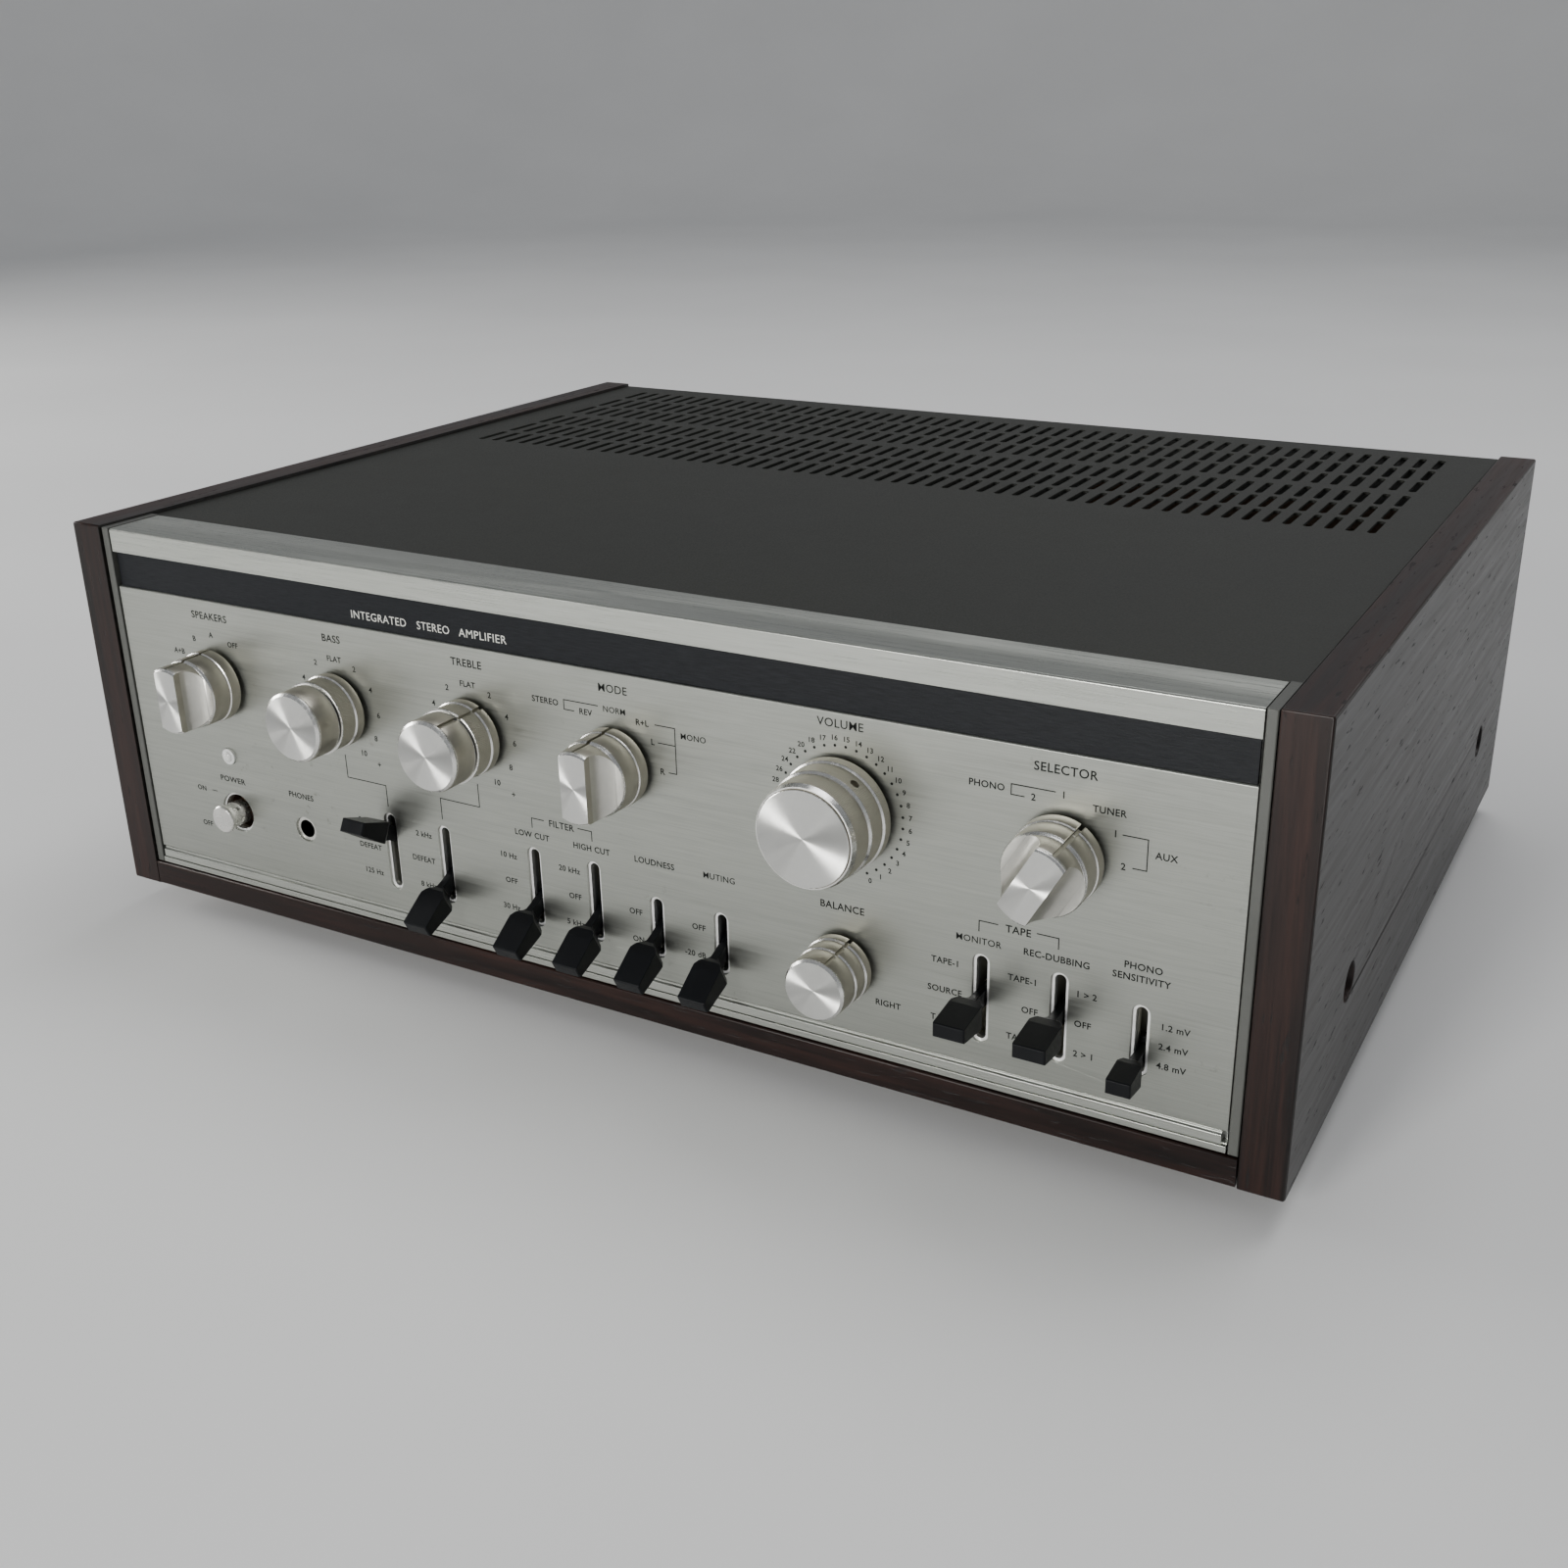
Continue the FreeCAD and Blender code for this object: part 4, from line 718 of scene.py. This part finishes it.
BIG, SMALL = 2.6, 1.95


def round_the_dial(cx, cz, radius, degrees):
    a = math.radians(degrees)
    return cx + radius * math.cos(a), cz + radius * math.sin(a)


def small(ink_on, words, x, z):
    ink_on.text(words, x, z, SMALL)


def panel_printing():
    p = Print(PANEL_Y)
    p.text("SPEAKERS", SPEAKERS_X, 113.5, BIG, width=17.0)
    for words, x, z in (("A+B", -181.1, 98.6), ("B", -172.6, 104.3), ("A", -163.9, 106.7),
                        ("OFF", -153.7, 104.4)):
        small(p, words, x, z)
    for title, x, tx, lever_x in (("BASS", BASS_X, -106.3, BASS_LEVER_X),
                                  ("TREBLE", TREBLE_X, -48.3, TREBLE_LEVER_X)):
        p.text(title, tx, 113.6, BIG)
        small(p, "FLAT", *round_the_dial(x, KNOB_Z, 17.4, 90))
        for step, digits in enumerate(("2", "4", "6", "8", "10")):
            for way in (-1, 1):
                small(p, digits, *round_the_dial(x, KNOB_Z, 17.4, 90 + way * 30 * (step + 1)))
        p.line([(x + 14.6, 70.8), (x + 15.8, 70.8)], 0.3)
        p.line([(x + 15.2, 70.2), (x + 15.2, 71.4)], 0.3)
        p.line([(x - 15.8, 70.8), (x - 14.6, 70.8)], 0.3)
        p.line([(tx + 0.1, 71.6), (tx + 0.1, 63.4), (lever_x, 63.4), (lever_x, 55.8)])
    p.text("POWER", -163.9, 51.6, 2.1, width=12.4)
    small(p, "ON", -180.8, 45.4)
    p.line([(-175.4, 45.4), (-173.0, 45.4)], 0.28)
    small(p, "OFF", -180.6, 31.2)
    p.line([(-175.4, 31.2), (-173.0, 31.2)], 0.28)
    p.text("PHONES", -130.3, 51.6, 2.1)
    for words, x, z in (("500 Hz", -99.4, 48.2), ("DEFEAT", -99.4, 38.7), ("125 Hz", -99.1, 29.1),
                        ("2 kHz", -74.2, 48.2), ("DEFEAT", -75.3, 38.7), ("8 kHz", -74.2, 29.1),
                        ("10 Hz", -37.8, 48.2), ("OFF", -37.3, 39.0), ("30 Hz", -38.2, 29.1),
                        ("20 kHz", -12.8, 48.3), ("OFF", -11.1, 39.0), ("5 kHz", -11.7, 29.2),
                        ("OFF", 12.8, 39.0), ("ON", 13.3, 29.2), ("OFF", 36.7, 39.0), ("-20 dB", 35.0, 29.3),
                        ("TAPE-1", 121.8, 48.2), ("SOURCE", 121.7, 38.7), ("TAPE-2", 121.8, 29.0),
                        ("TAPE-1", 145.9, 48.2), ("OFF", 148.3, 38.7), ("TAPE-2", 145.9, 29.0),
                        ("1 > 2", 165.0, 48.0), ("OFF", 164.3, 38.5), ("2 > 1", 165.0, 28.8),
                        ("1.2 mV", 190.8, 44.1), ("2.4 mV", 190.6, 37.9), ("4.8 mV", 190.4, 31.8)):
        small(p, words, x, z)
    p.text("FILTER", -14.8, 63.4, 2.3)
    p.line([(-26.7, 60.5), (-26.7, 63.8), (-21.9, 63.8)])
    p.line([(-8.1, 63.8), (-2.8, 63.8), (-2.8, 60.5)])
    for words, x, z in (("LOW CUT", -27.1, 57.7), ("HIGH CUT", -3.3, 57.7), ("LOUDNESS", 20.9, 57.9),
                        ("MUTING", 44.9, 57.9), ("MONITOR", 132.0, 57.4), ("REC-DUBBING", 155.7, 57.4),
                        ("PHONO", 180.8, 60.8), ("SENSITIVITY", 180.4, 57.2)):
        p.text(words, x, z, 2.05)
    p.text("TAPE", 144.1, 63.3, 2.3)
    p.line([(132.1, 60.5), (132.1, 63.8), (137.8, 63.8)])
    p.line([(149.8, 63.8), (156.2, 63.8), (156.2, 60.5)])
    p.text("MODE", 8.8, 113.8, BIG)
    p.text("STEREO", -17.4, 106.0, 2.0)
    p.line([(2.8, 107.4), (-10.1, 107.4), (-10.1, 104.2), (-6.4, 104.2)])
    for words, x, z in (("REV", -1.9, 104.6), ("NORM", 9.05, 106.9), ("R+L", 19.2, 104.6),
                        ("L", 22.8, 99.0), ("R", 25.9, 89.8), ("MONO", 37.6, 102.7)):
        p.text(words, x, z, 1.95)
    p.line([(24.0, 104.7), (31.1, 104.7), (31.1, 89.8), (28.4, 89.8)])
    p.line([(24.9, 99.0), (31.1, 99.0)])
    p.text("VOLUME", VOLUME_X, 115.8, BIG)
    marks = list(range(19)) + list(range(20, 30, 2))
    for step, number in enumerate(marks):
        degrees = -65 + 10 * step
        p.dot(*round_the_dial(VOLUME_X, KNOB_Z, 20.1, degrees), 0.45)
        p.text(str(number), *round_the_dial(VOLUME_X, KNOB_Z, 22.5, degrees), 1.55)
    for step in range(len(marks), 32, 2):
        p.dot(*round_the_dial(VOLUME_X, KNOB_Z, 20.1, -65 + 10 * step), 0.45)
    cx, cz = round_the_dial(VOLUME_X, KNOB_Z, 22.6, 245)
    loop = [(cx + 1.25 * math.sin(t), cz + 0.62 * math.sin(2 * t))
            for t in (2 * math.pi * i / 24 for i in range(25))]
    p.line(loop, 0.24)
    p.text("SELECTOR", SELECTOR_X, 114.1, BIG)
    p.text("PHONO", 133.3, 105.9, 2.0)
    p.line([(153.3, 107.4), (140.6, 107.4), (140.6, 104.3), (144.4, 104.3)])
    for words, x, z in (("2", 147.1, 104.7), ("1", 155.8, 107.0), ("TUNER", 168.8, 104.8),
                        ("1", 170.8, 98.7), ("2", 173.4, 89.6), ("AUX", 185.1, 94.7)):
        p.text(words, x, z, 2.0)
    p.line([(172.9, 98.7), (179.9, 98.7), (179.9, 89.6), (176.1, 89.6)])
    p.text("BALANCE", 87.9, 57.8, 2.3)
    small(p, "RIGHT", 103.2, 29.0)
    small(p, "LEFT", 73.2, 29.0)
    p.finish("panel_lettering", "ink")


def band_printing():
    p = Print(PANEL_Y + 0.9, 0.06)
    for words, x, width in (("INTEGRATED", -84.6, 23.6), ("STEREO", -61.4, 13.4),
                            ("AMPLIFIER", -41.2, 19.2)):
        p.text(words, x, 123.4, 2.75, width=width, bold=-0.012)
    p.finish("band_lettering", "white_ink")


panel_printing()
band_printing()


# ---------------------------------------------------------------- finishes of the CAD nodes
def wood_side(name):
    """Grain runs up the front edge and along the depth everywhere else; the outer faces carry a painted grey
    sheen.
    """
    s = Shader(name)
    s.set(Specular_IOR_Level=0.34)
    facing = s.add("ShaderNodeSeparateXYZ")
    s.link(s.coords.outputs["Normal"], facing.inputs["Vector"])
    front = s.span(s.math("ABSOLUTE", facing.outputs["Y"]), 0.0, 1.0, 0.6, 0.75)
    outer = s.span(s.math("ABSOLUTE", facing.outputs["X"]), 0.0, 1.0, 0.6, 0.75)

    def grain(scale, detail, rough, short, twist):
        up = s.noise(scale, detail, rough, (1, 1, short), twist)
        back = s.noise(scale, detail, rough, (1, short, 1), twist)
        node = s.add("ShaderNodeMix", data_type="FLOAT")
        s.link(front, node.inputs[0])
        s.link(back, node.inputs[2])
        s.link(up, node.inputs[3])
        return node.outputs[0]

    bands = grain(95, 5.0, 0.62, 0.045, 0.5)
    streaks = grain(430, 4.0, 0.65, 0.04, 0.2)
    pores = grain(560, 3.0, 0.55, 0.16, 0.0)
    base = s.ramp(bands, [(0.32, (0.0035, 0.0012, 0.0008)), (0.47, (0.0125, 0.0040, 0.0026)),
                          (0.60, (0.0240, 0.0080, 0.0050)), (0.74, (0.0055, 0.0020, 0.0013))])
    shade = s.ramp(streaks, [(0.34, (0.45, 0.45, 0.45)), (0.52, (1.0, 1.0, 1.0)), (0.72, (1.4, 1.35, 1.3))])
    # Painted reflection: the outer side faces are blended toward grey, a painted sheen of glancing light on
    # them.
    base = s.blend(s.math("MULTIPLY", outer, 0.8), base, (0.0150, 0.0150, 0.0138))
    tint = s.blend(1.0, base, shade, "MULTIPLY")
    ticks = s.span(pores, 1.0, 0.0, 0.30, 0.37)
    tint = s.blend(s.math("MULTIPLY", ticks, 0.8), tint, (0.004, 0.003, 0.003))
    relief = s.math("SUBTRACT", s.math("MULTIPLY", streaks, 0.4), ticks)
    rough = s.math("ADD", s.span(streaks, 0.32, 0.44), s.math("MULTIPLY", outer, 0.03))
    rough = s.math("ADD", rough, s.math("MULTIPLY", ticks, 0.25))
    return s.done(tint, rough, s.bump(relief, 0.6, 0.10))


MATS["wood_side"] = wood_side("rosewood_side_panels")
FINISH = {
    "side_panel_left": "wood_side", "side_panel_right": "wood_side", "front_rail": "wood_x",
    "side_screws": "zinc", "top_cover": "cover", "chassis_base": "steel", "rear_panel": "rear",
    "front_subpanel": "steel", "faceplate": "panel", "top_extrusion": "trim", "band_insert": "band",
    "bottom_trim": "trim", "end_strips": "strip", "feet": "rubber", "slot_liners": "liner",
    "pilot_lens": "lens", "phones_jack": "socket", "case_screws": "zinc", "rotary_switches": "phenolic",
    "potentiometers": "zinc", "lever_switches": "zinc", "power_switch": "phenolic",
    "transformer_core": "core", "transformer_coil": "wrap", "filter_capacitors": "sleeve",
    "heat_sinks": "sink", "output_transistors": "zinc", "circuit_boards": "board",
    "jack_plate": "phenolic", "input_jacks": "nickel", "speaker_terminals": "phenolic",
    "terminal_screws": "nickel", "ac_outlets": "black", "cord_gland": "black",
    "power_lever": "tip", "sensitivity_slider": "black",
}
BEVELS = {
    "side_panel_left": 0.5, "side_panel_right": 0.5, "front_rail": 0.35, "faceplate": 0.10,
    "top_extrusion": 0.18, "bottom_trim": 0.12, "end_strips": 0.15, "band_insert": 0.10,
    "rear_panel": 0.12, "slot_liners": 0.15, "power_lever": 0.2, "sensitivity_slider": 0.35,
    "ac_outlets": 0.3, "speaker_terminals": 0.3, "terminal_screws": 0.15, "input_jacks": 0.12,
    "case_screws": 0.15, "side_screws": 0.15, "cord_gland": 0.3, "feet": 0.6, "phones_jack": 0.15,
    "circuit_boards": 0.1, "transformer_core": 0.5, "heat_sinks": 0.15, "filter_capacitors": 0.4,
}


def soften(obj, width_mm, degrees=32.0):
    """Merge the doubled CAD vertices, then put a small rounded edge on every corner."""
    weld = obj.modifiers.new("weld", "WELD")
    weld.merge_threshold = 1e-6
    bevel = obj.modifiers.new("edges", "BEVEL")
    bevel.width = width_mm * MM
    bevel.segments = 2
    bevel.limit_method = "ANGLE"
    bevel.angle_limit = math.radians(degrees)
    bevel.harden_normals = True
    bevel.miter_outer = "MITER_ARC"


for node_name, node in NODES.items():
    if node_name.endswith("_lever") and node_name != "power_lever":
        finish_name, width_mm = "black", 0.35
    elif node_name.endswith("_shaft"):
        finish_name, width_mm = "turned", 0.0
    else:
        finish_name, width_mm = FINISH.get(node_name, "steel"), BEVELS.get(node_name, 0.0)
    node.data.materials.clear()
    node.data.materials.append(MATS[finish_name])
    if width_mm:
        soften(node, width_mm)


# ---------------------------------------------------------------- camera, floor and light
CAMERA_TURN, CAMERA_TILT, CAMERA_ROLL = 29.29, 22.20, -0.86    # degrees
CAMERA_PLACE = (305.42, -401.31, 287.15)                       # front frame, mm
CAMERA_LENS, CAMERA_SHIFT = 39.494, (-0.01992, -0.00588)
FLOOR_FLAT, FLOOR_CURVE = 3.2, 1.4                             # metres
FLOOR_STEPS = 96


def camera():
    """The photograph's viewpoint."""
    azimuth, elevation, roll = (math.radians(a) for a in (CAMERA_TURN, CAMERA_TILT, CAMERA_ROLL))
    forward = Vector((-math.sin(azimuth) * math.cos(elevation), math.cos(azimuth) * math.cos(elevation),
                      -math.sin(elevation)))
    right = forward.cross(Vector((0, 0, 1))).normalized()
    up = right.cross(forward)
    c, s = math.cos(roll), math.sin(roll)
    right, down = c * right + s * up, s * right - c * up
    data = bpy.data.cameras.new("camera")
    data.lens, data.sensor_width = CAMERA_LENS, 36.0
    data.shift_x, data.shift_y = CAMERA_SHIFT
    data.clip_start, data.clip_end = 0.02, 60.0
    obj = bpy.data.objects.new("camera", data)
    columns = (right, -down, -forward, at(*CAMERA_PLACE))
    obj.matrix_world = Matrix([[column[i] for column in columns] for i in range(3)] + [[0, 0, 0, 1]])
    bpy.context.scene.collection.objects.link(obj)
    bpy.context.scene.camera = obj


def floor():
    """A pale round floor that curves up far away on every side."""
    rows = [(0.0, 0.0), (1.2, 0.0), (FLOOR_FLAT, 0.0)]
    rows += [(FLOOR_FLAT + FLOOR_CURVE * math.sin(a), FLOOR_CURVE * (1 - math.cos(a)))
             for a in (math.pi / 2 * i / 10 for i in range(1, 11))]
    count, verts, faces = FLOOR_STEPS, [(0, 0, 0)], []
    for radius, height in rows[1:]:
        verts += [(radius * math.cos(t), radius * math.sin(t), height)
                  for t in (2 * math.pi * i / count for i in range(count))]
    faces += [(0, 1 + i, 1 + (i + 1) % count) for i in range(count)]
    for ring in range(len(rows) - 2):
        a, b = 1 + ring * count, 1 + (ring + 1) * count
        faces += [(a + i, b + i, b + (i + 1) % count, a + (i + 1) % count) for i in range(count)]
    mesh = bpy.data.meshes.new("floor")
    mesh.from_pydata(verts, [], faces)
    sharpen(mesh, 60)
    s = Shader("floor_paper")
    soft = s.noise(3.0, 3.0, 0.5)
    tint = s.ramp(soft, [(0.3, (0.80, 0.80, 0.80)), (0.7, (0.84, 0.84, 0.84))])
    mesh.materials.append(s.done(tint, s.span(soft, 0.75, 0.85)))
    obj = bpy.data.objects.new("floor", mesh)
    bpy.context.scene.collection.objects.link(obj)


def area(name, place, target, size, power, colour=(1, 1, 1)):
    """A soft box at place, aimed at target; metres and watts."""
    data = bpy.data.lights.new(name, "AREA")
    data.shape, data.size, data.size_y = "RECTANGLE", size[0], size[1]
    data.energy, data.color = power, colour
    obj = bpy.data.objects.new(name, data)
    obj.location = place
    obj.rotation_mode = "QUATERNION"
    obj.rotation_quaternion = (Vector(target) - Vector(place)).to_track_quat("-Z", "Y")
    bpy.context.scene.collection.objects.link(obj)


def lights():
    world = bpy.data.worlds.new("studio")
    world.use_nodes = True
    back = world.node_tree.nodes["Background"]
    back.inputs["Color"].default_value = (0.93, 0.96, 1.0, 1.0)
    back.inputs["Strength"].default_value = 0.25
    bpy.context.scene.world = world
    area("window", (-2.3, -0.25, 0.62), (-0.1, -0.15, 0.08), (0.9, 0.8), 30.0, (1.0, 0.99, 0.965))
    area("front", (-0.20, -2.0, 0.50), (0.12, -0.1, 0.08), (0.45, 1.0), 32.0, (1.0, 0.995, 0.97))
    area("top", (0.3, 0.9, 2.2), (0.0, 0.0, 0.1), (1.6, 1.2), 22.0)
    area("right", (2.1, 1.3, 0.6), (0.2, 0.0, 0.1), (1.4, 0.8), 9.0)


camera()
floor()
lights()
